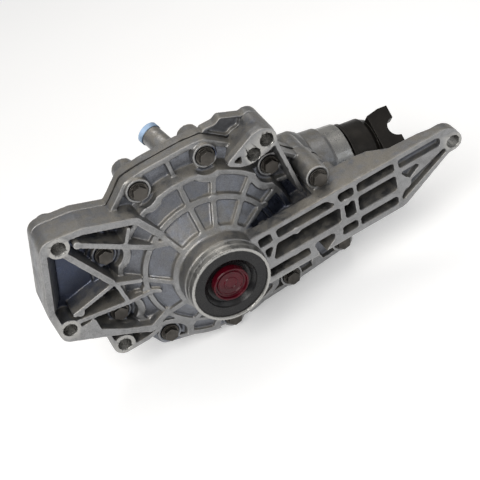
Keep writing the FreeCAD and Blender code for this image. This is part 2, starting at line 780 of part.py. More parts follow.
def drain_plug():
    plug = screw_plug()
    plug.rotate(ORIGIN, X, 90)
    plug.translate(vec(0, drain_y, drain_face_z()))
    return plug


def sealant_bead():
    """Film of sealant between the castings, with the squeeze-out just past the edge."""
    film = prism_y(flange_outline, split_y, rear_back())
    film = film.cut(rod_y(cavity_r, split_y - 1, rear_back() + 1))
    holes = bolt_holes(split_y - 1, rear_back() + 1, bolt_r + bolt_hole_gap)
    holes += [rod_y(dowel_r, split_y - 1, rear_back() + 1, x, z) for x, z in dowel_places]
    for x, z in lug_holes + [upper_hole, lower_hole, foot_hole]:
        holes.append(rod_y(mount_hole_r + film_gap, split_y - 1, rear_back() + 1, x, z))
    return cut_all(film, holes)


def dowel(x, z):
    return rod_y(dowel_r - thread_gap, split_y - dowel_long / 2, split_y + dowel_long / 2, x, z)


def seal_profile(outer, lip, thick):
    return [
        (outer, 0), (outer, thick), (outer - 3, thick), (outer - 3, 3.5), (lip + 6, thick - 2),
        (lip, thick - 1.5), (lip, thick - 4), (lip + 7, thick - 6), (groove_r - 1, 1.5), (groove_r, 0)]


def output_seal():
    profile = seal_profile(seal_r - running_gap, seal_lip_r, seal_thick)
    return turned_y([(r, y + seal_front_y) for r, y in profile])


def rear_output_seal():
    seal = output_seal()
    seal.rotate(ORIGIN, Z, 180)
    seal.translate(Y * rear_face_y)
    return seal


def output_plug():
    """Shipping plug pushed into the seal lip: a shallow cup with a rim."""
    outer = seal_lip_r - running_gap
    floor_y = plug_deep
    return turned_y([
        (0, floor_y), (plug_rim_r - plug_wall - 3, floor_y), (plug_rim_r - plug_wall, floor_y - 4),
        (plug_rim_r - plug_wall, 0.4), (plug_rim_r, 0.4), (plug_rim_r, floor_y - 5),
        (outer, floor_y - 3), (outer, floor_y + plug_wall + 4), (0, floor_y + plug_wall + 4)])


def rear_output_plug():
    plug = output_plug()
    plug.rotate(ORIGIN, Z, 180)
    plug.translate(Y * rear_face_y)
    return plug


# Bearings, built along local X with the wide end of the taper at the far end

def bearing_parts(cup_r, bore_r, wide, race_r, rise, roller_r):
    """Cup, cone and rollers of a taper roller bearing."""
    lead = 2.0
    rib = 2.0
    run = wide - lead - rib
    slant = math.atan2(rise, run)
    lift = (2 * roller_r + 2 * roller_gap) / math.cos(slant)
    start = race_r - math.tan(slant) * lead
    finish = start + math.tan(slant) * wide
    cup = turned_x([
        (0, cup_r - running_gap), (wide, cup_r - running_gap), (wide, finish + lift), (0, start + lift)])
    cone = turned_x([
        (0, bore_r), (wide, bore_r), (wide, race_r + rise + rib), (wide - rib, race_r + rise + rib),
        (wide - rib, race_r + rise), (lead, race_r), (lead, race_r + rib / 2), (0, race_r + rib / 2)])
    end_play = roller_r * math.sin(slant) + 0.3
    long = (run - 2 * end_play) / math.cos(slant)
    rollers = []
    for k in range(roller_count):
        roller = Part.makeCylinder(roller_r, long, ORIGIN, X)
        roller.rotate(ORIGIN, Z, math.degrees(slant))
        up = race_r + math.tan(slant) * end_play + (roller_r + roller_gap) / math.cos(slant)
        roller.translate(vec(lead + end_play, up, 0))
        roller.rotate(ORIGIN, X, 360 * k / roller_count)
        rollers.append(roller)
    return [cup, cone, Part.makeCompound(rollers)]


def side_bearing(place, flip):
    parts = bearing_parts(
        side_cup_r, side_cone_r, side_bearing_wide, side_race_r, side_race_rise, side_roller_r)
    placed = []
    for shape in parts:
        shape.rotate(ORIGIN, Z, -90 if flip else 90)
        shape.translate(Y * (place + (side_bearing_wide if flip else 0)))
        placed.append(shape)
    return placed


def pinion_bearing(place, flip, cup_r, bore_r, wide, race_r, roller_r):
    parts = bearing_parts(cup_r, bore_r, wide, race_r, pinion_race_rise, roller_r)
    placed = []
    for shape in parts:
        if flip:
            shape.rotate(ORIGIN, Z, 180)
            shape.translate(X * wide)
        shape.translate(X * place)
        placed.append(at_pinion(shape))
    return placed


# Bevel gears

def involute(angle):
    return math.tan(angle) - angle


def bevel_gear(teeth, mate_teeth, pitch_r, addendum, dedendum, shift, lash, face, blank):
    """Straight bevel gear on local +X with its apex at the origin."""
    cone = math.atan2(teeth, mate_teeth)
    module = 2 * pitch_r / teeth
    alpha = math.radians(pressure_angle)
    flat_r = pitch_r / math.cos(cone)
    base_r = flat_r * math.cos(alpha)
    thick = module * (math.pi / 2 + 2 * shift * math.tan(alpha)) - lash / 2
    cone_distance = pitch_r / math.sin(cone)
    pitch_point = vec(pitch_r / math.tan(cone), pitch_r, 0)

    def half_angle(radius):
        angle = math.acos(min(base_r / radius, 1.0))
        return thick / 2 / flat_r + involute(alpha) - involute(angle)

    def point(height, sign):
        radius = flat_r + height
        turn = sign * half_angle(radius) / math.cos(cone)
        reach = pitch_r + height * math.cos(cone)
        along = pitch_r / math.tan(cone) - height * math.sin(cone)
        spot = vec(along, reach * math.cos(turn), reach * math.sin(turn))
        return spot * (cone_distance ** 2 / spot.dot(pitch_point))

    low = -dedendum
    heights = [low - 0.6, low]
    start = max(low, base_r - flat_r)
    for step in range(4):
        heights.append(start + (addendum - start) * (step + 0.001) / 3 if step else start + 0.001)
    heights = sorted(set(heights))
    outer = [point(h, 1) for h in heights] + [point(h, -1) for h in reversed(heights)]
    scale = (cone_distance - face) / cone_distance
    inner = [p * scale for p in outer]
    faces = [polygon_face(outer), polygon_face(inner)]
    for i in range(len(outer)):
        j = (i + 1) % len(outer)
        faces.append(polygon_face([outer[i], outer[j], inner[j], inner[i]]))
    tooth = Part.makeSolid(Part.makeShell(faces))
    if tooth.Volume < 0:
        tooth.reverse()
    copies = []
    for k in range(teeth):
        one = tooth.copy()
        one.rotate(ORIGIN, X, 360 * k / teeth)
        copies.append(one)
    return fuse_all([blank] + copies)


def polygon_face(points):
    return Part.Face(Part.makePolygon(points + points[:1]))


def cone_point(pitch_r, cone, height, inward):
    """(distance, radius) on the local axis for a height above the pitch cone."""
    full = pitch_r / math.sin(cone)
    along = math.cos(cone) * (full - inward) - height * math.sin(cone) * (full - inward) / full
    radius = math.sin(cone) * (full - inward) + height * math.cos(cone) * (full - inward) / full
    return (along, radius)


def ring_gear():
    cone = math.atan2(ring_teeth, pinion_teeth)
    ded = pinion_addendum + tip_clearance
    outer = cone_point(ring_pitch_r, cone, -ded, 0)
    inner = cone_point(ring_pitch_r, cone, -ded, face_width)
    back = pinion_y - ring_back_y
    blank = turned_x([
        outer, inner, (inner[0] + 2, ring_bore_r), (back, ring_bore_r), (back, outer[1] - 3),
        (back - 3, outer[1])])
    gear = bevel_gear(
        ring_teeth, pinion_teeth, ring_pitch_r, ring_addendum, ded, -profile_shift, backlash, face_width, blank)
    gear = at_ring(gear)
    holes = []
    for k in range(ring_bolt_count):
        holes.append(ring_bolt_hole(k))
    return gear.cut(holes)


def at_ring(shape):
    """Moves a gear made on local +X to the ring's place, a tooth facing the pinion axis."""
    placed = shape.copy()
    placed.rotate(ORIGIN, Z, -90)
    placed.rotate(ORIGIN, Y, pinion_tilt)
    placed.translate(Y * pinion_y)
    return placed


def ring_bolt_hole(k):
    angle = math.radians(360 * k / ring_bolt_count + 18)
    x = ring_bolt_circle_r * math.cos(angle)
    z = ring_bolt_circle_r * math.sin(angle)
    return rod_y(ring_bolt_r + thread_gap, ring_back_y - case_flange_thick - 1, ring_back_y + 8, x, z)


def ring_gear_bolts():
    bolts = []
    seat = ring_back_y - case_flange_thick
    for k in range(ring_bolt_count):
        angle = math.radians(360 * k / ring_bolt_count + 18)
        x = ring_bolt_circle_r * math.cos(angle)
        z = ring_bolt_circle_r * math.sin(angle)
        head = hexagon(14.0, seat - 6.0, seat, x, z)
        bolts.append(head.fuse(rod_y(ring_bolt_r, seat, ring_back_y + 7, x, z)))
    return Part.makeCompound(bolts)


def drive_pinion():
    cone = math.atan2(pinion_teeth, ring_teeth)
    ded = ring_addendum + tip_clearance
    pitch_r = ring_pitch_r * pinion_teeth / ring_teeth
    outer = cone_point(pitch_r, cone, -ded, 0)
    inner = cone_point(pitch_r, cone, -ded, face_width)
    head_face = head_bearing_at
    head_r = head_cone_r - running_gap
    tail_r = tail_cone_r - running_gap
    tail_end = tail_bearing_at + tail_bearing_wide
    washer_at = pinion_nut_at - pinion_washer_thick
    nut_end = pinion_nut_at + pinion_nut_high
    blank = turned_x([
        (inner[0], 0), inner, outer, (head_face, outer[1]), (head_face, head_r),
        (spacer_start - 2, head_r), (spacer_start, head_r - 1), (spacer_start, tail_r), (tail_end, tail_r),
        (tail_end, spline_shaft_r), (washer_at, spline_shaft_r), (washer_at, thread_shaft_r),
        (nut_end, thread_shaft_r), (nut_end + 2, thread_shaft_r - 2), (nut_end + 2, 0)])
    gear = bevel_gear(
        pinion_teeth, ring_teeth, pitch_r, pinion_addendum, ded, profile_shift, backlash, face_width, blank)
    gear.rotate(ORIGIN, X, 180 / pinion_teeth + 180)
    return at_pinion(gear)


def side_gear(flip):
    cone = math.atan2(side_teeth, spider_teeth)
    ded = spider_addendum + 0.7
    outer = cone_point(side_pitch_r, cone, -ded, 0)
    inner = cone_point(side_pitch_r, cone, -ded, diff_face_width)
    blank = turned_x([
        (inner[0] - 1, spline_r), inner, outer, (outer[0] + 7, outer[1] - 1), (outer[0] + 7, side_hub_r),
        (outer[0] + 34, side_hub_r), (outer[0] + 34, spline_r)])
    gear = bevel_gear(
        side_teeth, spider_teeth, side_pitch_r, side_addendum, ded, -diff_shift, diff_backlash,
        diff_face_width, blank)
    gear.rotate(ORIGIN, Z, 90 if flip else -90)
    gear.translate(Y * pinion_y)
    return gear


def spider_gear(flip):
    cone = math.atan2(spider_teeth, side_teeth)
    pitch_r = side_pitch_r * spider_teeth / side_teeth
    ded = side_addendum + 0.7
    outer = cone_point(pitch_r, cone, -ded, 0)
    inner = cone_point(pitch_r, cone, -ded, diff_face_width)
    bore = cross_pin_r + running_gap
    blank = turned_x([
        (inner[0] - 0.5, bore), inner, outer, (outer[0] + 5, outer[1]), (outer[0] + 5, bore)])
    gear = bevel_gear(
        spider_teeth, side_teeth, pitch_r, spider_addendum, ded, diff_shift, diff_backlash,
        diff_face_width, blank)
    gear.rotate(ORIGIN, X, 180 / spider_teeth)
    gear.rotate(ORIGIN, Y, 90 if flip else -90)
    gear.translate(Y * pinion_y)
    return gear


# Differential case and its pins

def side_back():
    """Distance from the axis crossing to the back of a side gear."""
    cone = math.atan2(side_teeth, spider_teeth)
    return cone_point(side_pitch_r, cone, -(spider_addendum + 0.7), 0)[0] + 7


def spider_back():
    """Distance from the axis crossing to the back of a spider gear."""
    cone = math.atan2(spider_teeth, side_teeth)
    pitch_r = side_pitch_r * spider_teeth / side_teeth
    return cone_point(pitch_r, cone, -(side_addendum + 0.7), 0)[0] + 5


def diff_case():
    seat = ring_back_y - case_flange_thick
    front_shoulder = front_bearing_y + side_bearing_wide
    journal = side_cone_r - running_gap
    body = turned_y([
        (case_hub_bore_r, front_bearing_y), (journal, front_bearing_y), (journal, front_shoulder),
        (journal + 7, front_shoulder), (journal + 9, front_shoulder + 8), (case_r - 4, seat - 14),
        (case_r, seat - 8), (case_r, seat), (case_flange_r, seat), (case_flange_r, ring_back_y),
        (ring_bore_r - running_gap, ring_back_y), (ring_bore_r - running_gap, ring_back_y + 12),
        (case_r, ring_back_y + 15), (case_r, rear_bearing_y - 16), (journal + 8, rear_bearing_y - 6),
        (journal + 7, rear_bearing_y), (journal, rear_bearing_y), (journal, rear_bearing_y + side_bearing_wide),
        (case_hub_bore_r, rear_bearing_y + side_bearing_wide)])
    half = side_back() + washer_thick
    tools = [rod_y(case_bore_r - 6, pinion_y - half, pinion_y + half)]
    wide = case_bore_r - 2.5
    chamber = [(0, wide - 1), (wide / 2, wide - 6), (wide - 1, wide / 2)]
    chamber += [(r, -y) for r, y in reversed(chamber)]
    tools.append(turned_y([(r, pinion_y + y) for r, y in chamber]))
    top = spider_back() + washer_thick
    tools.append(Part.makeCylinder(17.5, 2 * top, vec(0, pinion_y, -top), Z))
    tools.append(Part.makeCylinder(cross_pin_r, 2 * case_r + 20, vec(0, pinion_y, -case_r - 10), Z))
    tools.append(Part.makeCylinder(23, 2 * case_r + 20, vec(-case_r - 10, pinion_y, 0), X))
    tools += [ring_bolt_hole(k) for k in range(ring_bolt_count)]
    return body.cut(tools)


def cross_pin():
    return Part.makeCylinder(cross_pin_r - running_gap, 2 * case_r - 1, vec(0, pinion_y, 0.5 - case_r), Z)


def side_washer(flip):
    inner = side_hub_r + 0.2
    start = side_back() + 0.05
    thick = washer_thick - 0.1
    y0 = pinion_y + start if flip else pinion_y - start - thick
    return tube_y(26, inner, y0, y0 + thick)


def spider_washer(flip):
    start = spider_back() + 0.05
    thick = washer_thick - 0.1
    z0 = -start - thick if flip else start
    outer = Part.makeCylinder(15.5, thick, vec(0, pinion_y, z0), Z)
    return outer.cut(Part.makeCylinder(cross_pin_r + 0.2, thick, vec(0, pinion_y, z0), Z))


# Pinion pieces

def pinion_spacer():
    """Collapsible spacer between the pinion bearings."""
    inner = tail_cone_r + 0.2
    outer = inner + 3
    end = tail_bearing_at
    middle = (spacer_start + end) / 2
    return at_pinion(turned_x([
        (spacer_start, inner), (spacer_start, outer), (middle - 6, outer), (middle, outer + 2.5),
        (middle + 6, outer), (end, outer), (end, inner)]))


def pinion_seal():
    start = neck_end - pinion_seal_wide
    lip = yoke_hub_r + running_gap
    outer = pinion_seal_r - running_gap
    return at_pinion(turned_x([
        (start, outer - 1), (start + 1, outer), (neck_end, outer), (neck_end, lip + 2), (neck_end - 2, lip),
        (neck_end - 4, lip), (neck_end - 3, lip + 5), (start + 2.5, outer - 3), (start, outer - 3)]))


def dust_shield():
    return at_pinion(turned_x([
        (yoke_face, yoke_hub_r + running_gap), (yoke_face, shield_r), (yoke_face + 4, shield_r),
        (yoke_face + 4, yoke_hub_r + running_gap)]))


def yoke_ear(side):
    """One ear of the yoke, on local X with the cross axis along local Y."""
    outline = [
        (ear_root, -ear_half_wide + 4), (cross_at - 12, -ear_half_wide), (cross_at, -ear_half_wide),
        (cross_at, ear_half_wide), (cross_at - 12, ear_half_wide), (ear_root, ear_half_wide - 4)]
    near = ear_out - ear_thick
    loop = [vec(s, side * near, v) for s, v in outline]
    plate = Part.Face(Part.makePolygon(loop + loop[:1])).extrude(Y * (side * ear_thick))
    tools = [Part.makeCylinder(cup_r, 2 * ear_out, vec(cross_at, -ear_out, 0), Y)]
    for sign in (1, -1):
        middle = vec(cross_at - strap_hole_deep, side * (ear_out - ear_thick / 2), sign * strap_offset())
        tools.append(Part.makeCylinder(strap_hole_r, strap_hole_deep + 1, middle, X))
    return plate.cut(tools)


def strap_offset():
    """Distance of a strap screw from the cross axis."""
    return (cup_r + ear_half_wide) / 2


def yoke():
    washer_at = pinion_nut_at - pinion_washer_thick
    tail_end = tail_bearing_at + tail_bearing_wide
    barrel_at = yoke_face + 4
    hub = turned_x([
        (tail_end, spline_shaft_r + running_gap), (tail_end, yoke_hub_r), (barrel_at, yoke_hub_r),
        (barrel_at, shield_r - 2), (waist_at, shield_r - 2), (waist_at + 3, waist_r), (shield_end, waist_r - 2),
        (shield_end, yoke_hollow_r + 2), (shield_end - 3, yoke_hollow_r), (pinion_nut_at - 1, yoke_hollow_r),
        (washer_at, yoke_hollow_r - 3), (washer_at, spline_shaft_r + running_gap)])
    ears = [yoke_ear(1), yoke_ear(-1)]
    body = fuse_all([hub] + ears)
    body.rotate(ORIGIN, X, -cross_turn)
    return at_pinion(body)


def pinion_washer():
    start = pinion_nut_at - pinion_washer_thick
    return at_pinion(rod_x(17, start, pinion_nut_at).cut(rod_x(thread_shaft_r + running_gap, start, pinion_nut_at)))


def pinion_nut():
    nut = hexagon(pinion_nut_across, 0, pinion_nut_high, 0, 0)
    nut.rotate(ORIGIN, Z, -90)
    nut.translate(X * pinion_nut_at)
    return at_pinion(nut.cut(rod_x(thread_shaft_r + running_gap, pinion_nut_at - 1, pinion_nut_at + 40)))


def main_parts():
    parts = {}
    parts["front_cover"] = front_cover()
    parts["rear_carrier"] = rear_carrier()
    parts["sealant_bead"] = sealant_bead()
    for number, (x, z) in enumerate(bolt_places, 1):
        parts["cover_bolt_%02d" % number] = cover_bolt(x, z)
    for number, (x, z) in enumerate(dowel_places, 1):
        parts["dowel_pin_%d" % number] = dowel(x, z)
    parts["front_output_seal"] = output_seal()
    parts["rear_output_seal"] = rear_output_seal()
    parts["front_output_plug"] = output_plug()
    parts["rear_output_plug"] = rear_output_plug()
    parts["vent_pipe"] = vent_pipe()
    parts["vent_cap"] = vent_cap()
    parts["fill_plug"] = fill_plug()
    parts["drain_plug"] = drain_plug()
    front = side_bearing(front_bearing_y, False)
    rear = side_bearing(rear_bearing_y, True)
    for name, shape in zip(("cup", "cone", "rollers"), front):
        parts["front_bearing_" + name] = shape
    for name, shape in zip(("cup", "cone", "rollers"), rear):
        parts["rear_bearing_" + name] = shape
    head = pinion_bearing(
        head_bearing_at, True, head_cup_r, head_cone_r, head_bearing_wide, head_race_r, head_roller_r)
    tail = pinion_bearing(
        tail_bearing_at, False, tail_cup_r, tail_cone_r, tail_bearing_wide, tail_race_r, tail_roller_r)
    for name, shape in zip(("cup", "cone", "rollers"), head):
        parts["head_bearing_" + name] = shape
    for name, shape in zip(("cup", "cone", "rollers"), tail):
        parts["tail_bearing_" + name] = shape
    parts["pinion_spacer"] = pinion_spacer()
    parts["pinion_seal"] = pinion_seal()
    parts["dust_shield"] = dust_shield()
    parts["yoke"] = yoke()
    parts["pinion_washer"] = pinion_washer()
    parts["pinion_nut"] = pinion_nut()
    parts["diff_case"] = diff_case()
    parts["cross_pin"] = cross_pin()
    parts["side_washer_front"] = side_washer(False)
    parts["side_washer_rear"] = side_washer(True)
    parts["spider_washer_upper"] = spider_washer(False)
    parts["spider_washer_lower"] = spider_washer(True)
    parts["ring_gear"] = ring_gear()
    parts["ring_gear_bolts"] = ring_gear_bolts()
    parts["drive_pinion"] = drive_pinion()
    parts["side_gear_front"] = side_gear(False)
    parts["side_gear_rear"] = side_gear(True)
    parts["spider_gear_upper"] = spider_gear(False)
    parts["spider_gear_lower"] = spider_gear(True)
    return parts


def export(parts):
    os.makedirs("parts", exist_ok=True)
    for name, shape in parts.items():
        shape.exportStep("parts/" + name + ".step")


if __name__ == "__main__":
    export(main_parts())
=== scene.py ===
import json
import math

import bmesh
import bpy
import numpy as np
from bpy.props import FloatProperty, FloatVectorProperty, IntProperty, PointerProperty
from mathutils import Matrix, Vector


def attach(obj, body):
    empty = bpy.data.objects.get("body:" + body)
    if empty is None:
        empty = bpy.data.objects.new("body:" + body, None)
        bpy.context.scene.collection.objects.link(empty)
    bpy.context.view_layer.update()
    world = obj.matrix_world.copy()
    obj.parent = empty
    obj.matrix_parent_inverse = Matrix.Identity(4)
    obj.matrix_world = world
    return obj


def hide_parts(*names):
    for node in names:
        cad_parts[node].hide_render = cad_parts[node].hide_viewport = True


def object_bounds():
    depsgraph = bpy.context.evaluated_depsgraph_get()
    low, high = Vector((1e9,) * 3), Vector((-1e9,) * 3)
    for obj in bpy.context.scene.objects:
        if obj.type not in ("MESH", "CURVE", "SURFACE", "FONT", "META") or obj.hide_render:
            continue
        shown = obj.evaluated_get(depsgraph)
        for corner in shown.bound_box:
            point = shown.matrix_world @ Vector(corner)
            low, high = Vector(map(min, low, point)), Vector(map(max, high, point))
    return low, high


bl_info = {
    "name": "Axle carrier dressing",
    "version": (1, 0, 0),
    "blender": (4, 5, 0),
    "location": "3D View > Sidebar > Axle",
    "description": "Gives the packed axle carrier its cast skin, sealant, finishes and studio",
    "category": "Object",
}

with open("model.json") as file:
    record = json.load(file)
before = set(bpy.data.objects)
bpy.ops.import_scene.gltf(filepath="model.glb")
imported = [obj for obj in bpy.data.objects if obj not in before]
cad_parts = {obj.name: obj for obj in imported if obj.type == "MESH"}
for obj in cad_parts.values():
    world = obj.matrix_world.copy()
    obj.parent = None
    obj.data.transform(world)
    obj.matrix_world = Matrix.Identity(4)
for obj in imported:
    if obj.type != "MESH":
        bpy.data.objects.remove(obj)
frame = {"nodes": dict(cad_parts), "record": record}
nodes = frame["nodes"]
cad_low, cad_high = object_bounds()
axle_centre = (cad_low + cad_high) / 2

MM = 0.001

# Machined faces of the front cover: (x, z, radius, y of the face), in millimetres
BOSS_FACE = (0.0, 0.0, 45.0, 0.0)
MOUNT_FACES = [
    (-137.0, 114.0, 12.2, 49.0), (-169.5, 15.0, 12.2, 49.0), (-128.0, -50.0, 12.2, 60.0),
    (101.3, 111.1, 11.5, 42.0), (83.0, 103.0, 11.0, 42.0), (288.1, 6.2, 11.0, 16.0)]
REAR_MOUNTS = MOUNT_FACES[:5]
BORE_R = 7.8

# Spot faces under the cover bolts: (x, z, y of the seat), in millimetres
BOLT_SEATS = [
    (-100, 67, 67.5), (-115, -9, 67.5), (-78, -73, 67.5), (-5, -101, 67.5), (76, -92, 67.5),
    (147, -84, 67.5), (137, 40, 37.0), (100, 64, 67.5), (40, 114, 67.5), (-38, 116, 67.5)]
SPOT_R = 11.4
SPOT_SHARE = 0.6

# Turned walls of the seal boss: (radius, y where it starts, y where it ends), in millimetres
BOSS_WALLS = [(45.0, 0.0, 8.0), (46.0, 8.0, 15.0)]
BOSS_TURNED_R = 46.7
BOSS_TURNED_Y = 15.4
BOSS_TURNED_SHARE = 0.55

# Collars of cast metal round the lug holes: (x, z, outer radius), in millimetres
LUG_COLLARS = [(101.3, 111.1, 13.0), (83.0, 103.0, 11.0)]
COLLAR_START_Y = 50.0
COVER_BACK_Y = 84.5
REAR_FRONT_Y = 85.0
REAR_LUG_BACK_Y = 98.5
REAR_FACE_Y = 222.0
REAR_BOSS_R = 49.0
REAR_BOSS_START_Y = 190.0

# Height of the rib crests on the cone: radius and y, in millimetres
CONE_CREST_R = [46.5, 52.3, 78.0, 98.7, 105.3, 109.5]
CONE_CREST_Y = [31.0, 34.0, 51.0, 59.8, 59.8, 70.5]
# Where the bracket, its foot, the arm and the lug begin, and the y of their front faces
BRACKET_X = -70.0
BRACKET_R = 105.0
BRACKET_EDGE = (-182.0, 4.0, -0.6)
BRACKET_Y = 49.0
FOOT_EDGE = (-95.0, -35.0, -0.7)
FOOT_Y = 60.0
ARM_X = 42.0
ARM_Z = (-41.0, 28.5)
ARM_Y = 16.0
LUG_X = 50.0
LUG_Z = 92.0
LUG_ROOT_Y = 69.0
LUG_Y = 42.0

# Dished shipping plug: (radius, depth behind the boss face), in millimetres
PLUG_PROFILE = [
    (0.0, 3.4), (5.6, 3.4), (6.2, 2.8), (7.4, 2.8), (8.0, 3.6), (12.6, 3.8), (13.2, 3.1), (14.4, 3.1),
    (15.2, 4.2), (17.0, 3.4), (17.8, 1.2), (18.4, 0.7), (19.4, 0.7), (19.9, 1.3), (19.9, 9.0), (0.0, 9.0)]

# Pinion axis, and the turned neck of the nose: where it starts along the axis, and its radius
PINION_POINT = Vector((0.0, 138.0, 0.0))
PINION_DIP = math.radians(10.0)
PINION_AXIS = Vector((math.cos(PINION_DIP), 0.0, -math.sin(PINION_DIP)))
NECK_START = 182.0
NECK_R = 46.5
NECK_SHARE = 0.7

# Relaxing of the cast skin, and the bulge in millimetres that marks a crest or a corner
KEEP_SHARE = 0.45
RELAX_SHARE = 0.55
BULGE_ROUNDS = 14
CREST_BULGE = (0.45, 1.25)
CORNER_BULGE = (0.45, 1.6)

# Lamps: name, place in metres, width and length, colour
LAMPS = [
    ("key", (-0.65, -0.75, 1.15), (0.9, 0.9), (1.0, 0.985, 0.96)),
    ("top", (0.35, 0.5, 1.2), (0.9, 0.6), (1.0, 0.96, 0.9)),
    ("fill", (0.9, -0.9, 0.5), (0.8, 0.8), (0.92, 0.96, 1.0))]
FLOOR_REACH = 30.0
FLOOR_DROP = 0.0005
FLOOR_CORNERS = [(-1, -1), (1, -1), (1, 1), (-1, 1)]

# Camera turned to the photograph's angle: right and up directions, and its place in metres
CAMERA_RIGHT = Vector((0.862, -0.399, -0.314))
CAMERA_UP = Vector((0.492, 0.508, 0.707))
CAMERA_PLACE = Vector((-0.1084, -0.8440, 0.7487))


def colour_property(label, words, value):
    return FloatVectorProperty(
        name=label, description=words, default=value, size=3, min=0.0, max=1.0, subtype="COLOR")


def length_property(label, words, value):
    return FloatProperty(name=label, description=words, default=value, min=0.0, unit="LENGTH", precision=5)


def count_property(label, words, value, least):
    return IntProperty(name=label, description=words, default=value, min=least)


def power_property(label, words, value):
    return FloatProperty(name=label, description=words, default=value, unit="POWER")


class AxleFinish(bpy.types.PropertyGroup):
    """Colours of the carrier's finishes"""

    crest: colour_property("Crest", "Bare cast metal on rib crests and walls", (0.275, 0.276, 0.280))
    # Panel and pocket colours are painted shade: blue-grey in sunken panels, navy at the bottom of deep
    # pockets.
    panel_shade: colour_property("Panel", "Cast skin on the sunken panels", (0.178, 0.188, 0.215))
    pocket_shade: colour_property("Pocket", "Dark cast skin at the bottom of pockets", (0.045, 0.055, 0.088))
    # This tan is painted warm top light on faces that look up.
    top_light_tint: colour_property("Wall film", "Dry tan film on faces that look up", (0.240, 0.218, 0.180))
    machined: colour_property("Machined", "Turned and spot-faced metal", (0.36, 0.355, 0.34))
    # This dark colour serves for grain, pits, and the painted shade in concave corners.
    grime_and_shade: colour_property("Grime", "Oil and dust in the corners", (0.030, 0.031, 0.036))
    bolt: colour_property("Bolt", "Phosphated steel of the bolts", (0.085, 0.078, 0.07))
    bolt_wear: colour_property("Bolt wear", "Steel that shows on worn edges", (0.24, 0.23, 0.21))
    iron: colour_property("Yoke iron", "Blackened iron of the yoke", (0.022, 0.019, 0.016))
    rubber: colour_property("Seal rubber", "Rubber of the seals", (0.010, 0.010, 0.011))
    sealant: colour_property("Sealant", "Cured sealant", (0.012, 0.011, 0.010))
    red: colour_property("Red plug", "Plastic of the shipping plugs", (0.075, 0.001, 0.007))
    blue: colour_property("Blue cap", "Plastic of the vent cap", (0.42, 0.58, 0.80))
    steel: colour_property("Gear steel", "Hardened steel inside the carrier", (0.36, 0.35, 0.34))


class AxleSize(bpy.types.PropertyGroup):
    """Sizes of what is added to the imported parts"""

    voxel: length_property("Skin voxel", "Grid of the cast skin", 0.001)
    relax: count_property("Skin relaxing", "Rounds of edge rounding on the cast skin", 2, 0)
    skin_faces: count_property("Skin faces", "Triangles kept on each casting", 170000, 10000)
    bead: length_property("Sealant bead", "Mean radius of the squeezed-out sealant", 0.0010)


class AxleStage(bpy.types.PropertyGroup):
    """Camera, lamps and floor"""

    lens: FloatProperty(
        name="Lens", description="Focal length on a 36 mm wide sensor", default=81.12, unit="CAMERA")
    key_power: power_property("Key lamp", "Power of the lamp over the camera", 15.0)
    top_power: power_property("Top lamp", "Power of the lamp behind", 4.0)
    fill_power: power_property("Fill lamp", "Power of the lamp at the right", 2.0)
    ambient: FloatProperty(name="Room light", description="Strength of the even room light", default=0.40)
    floor: colour_property("Floor", "Pale studio floor", (0.86, 0.86, 0.86))


def finish_of(context):
    return context.scene.axle_finish


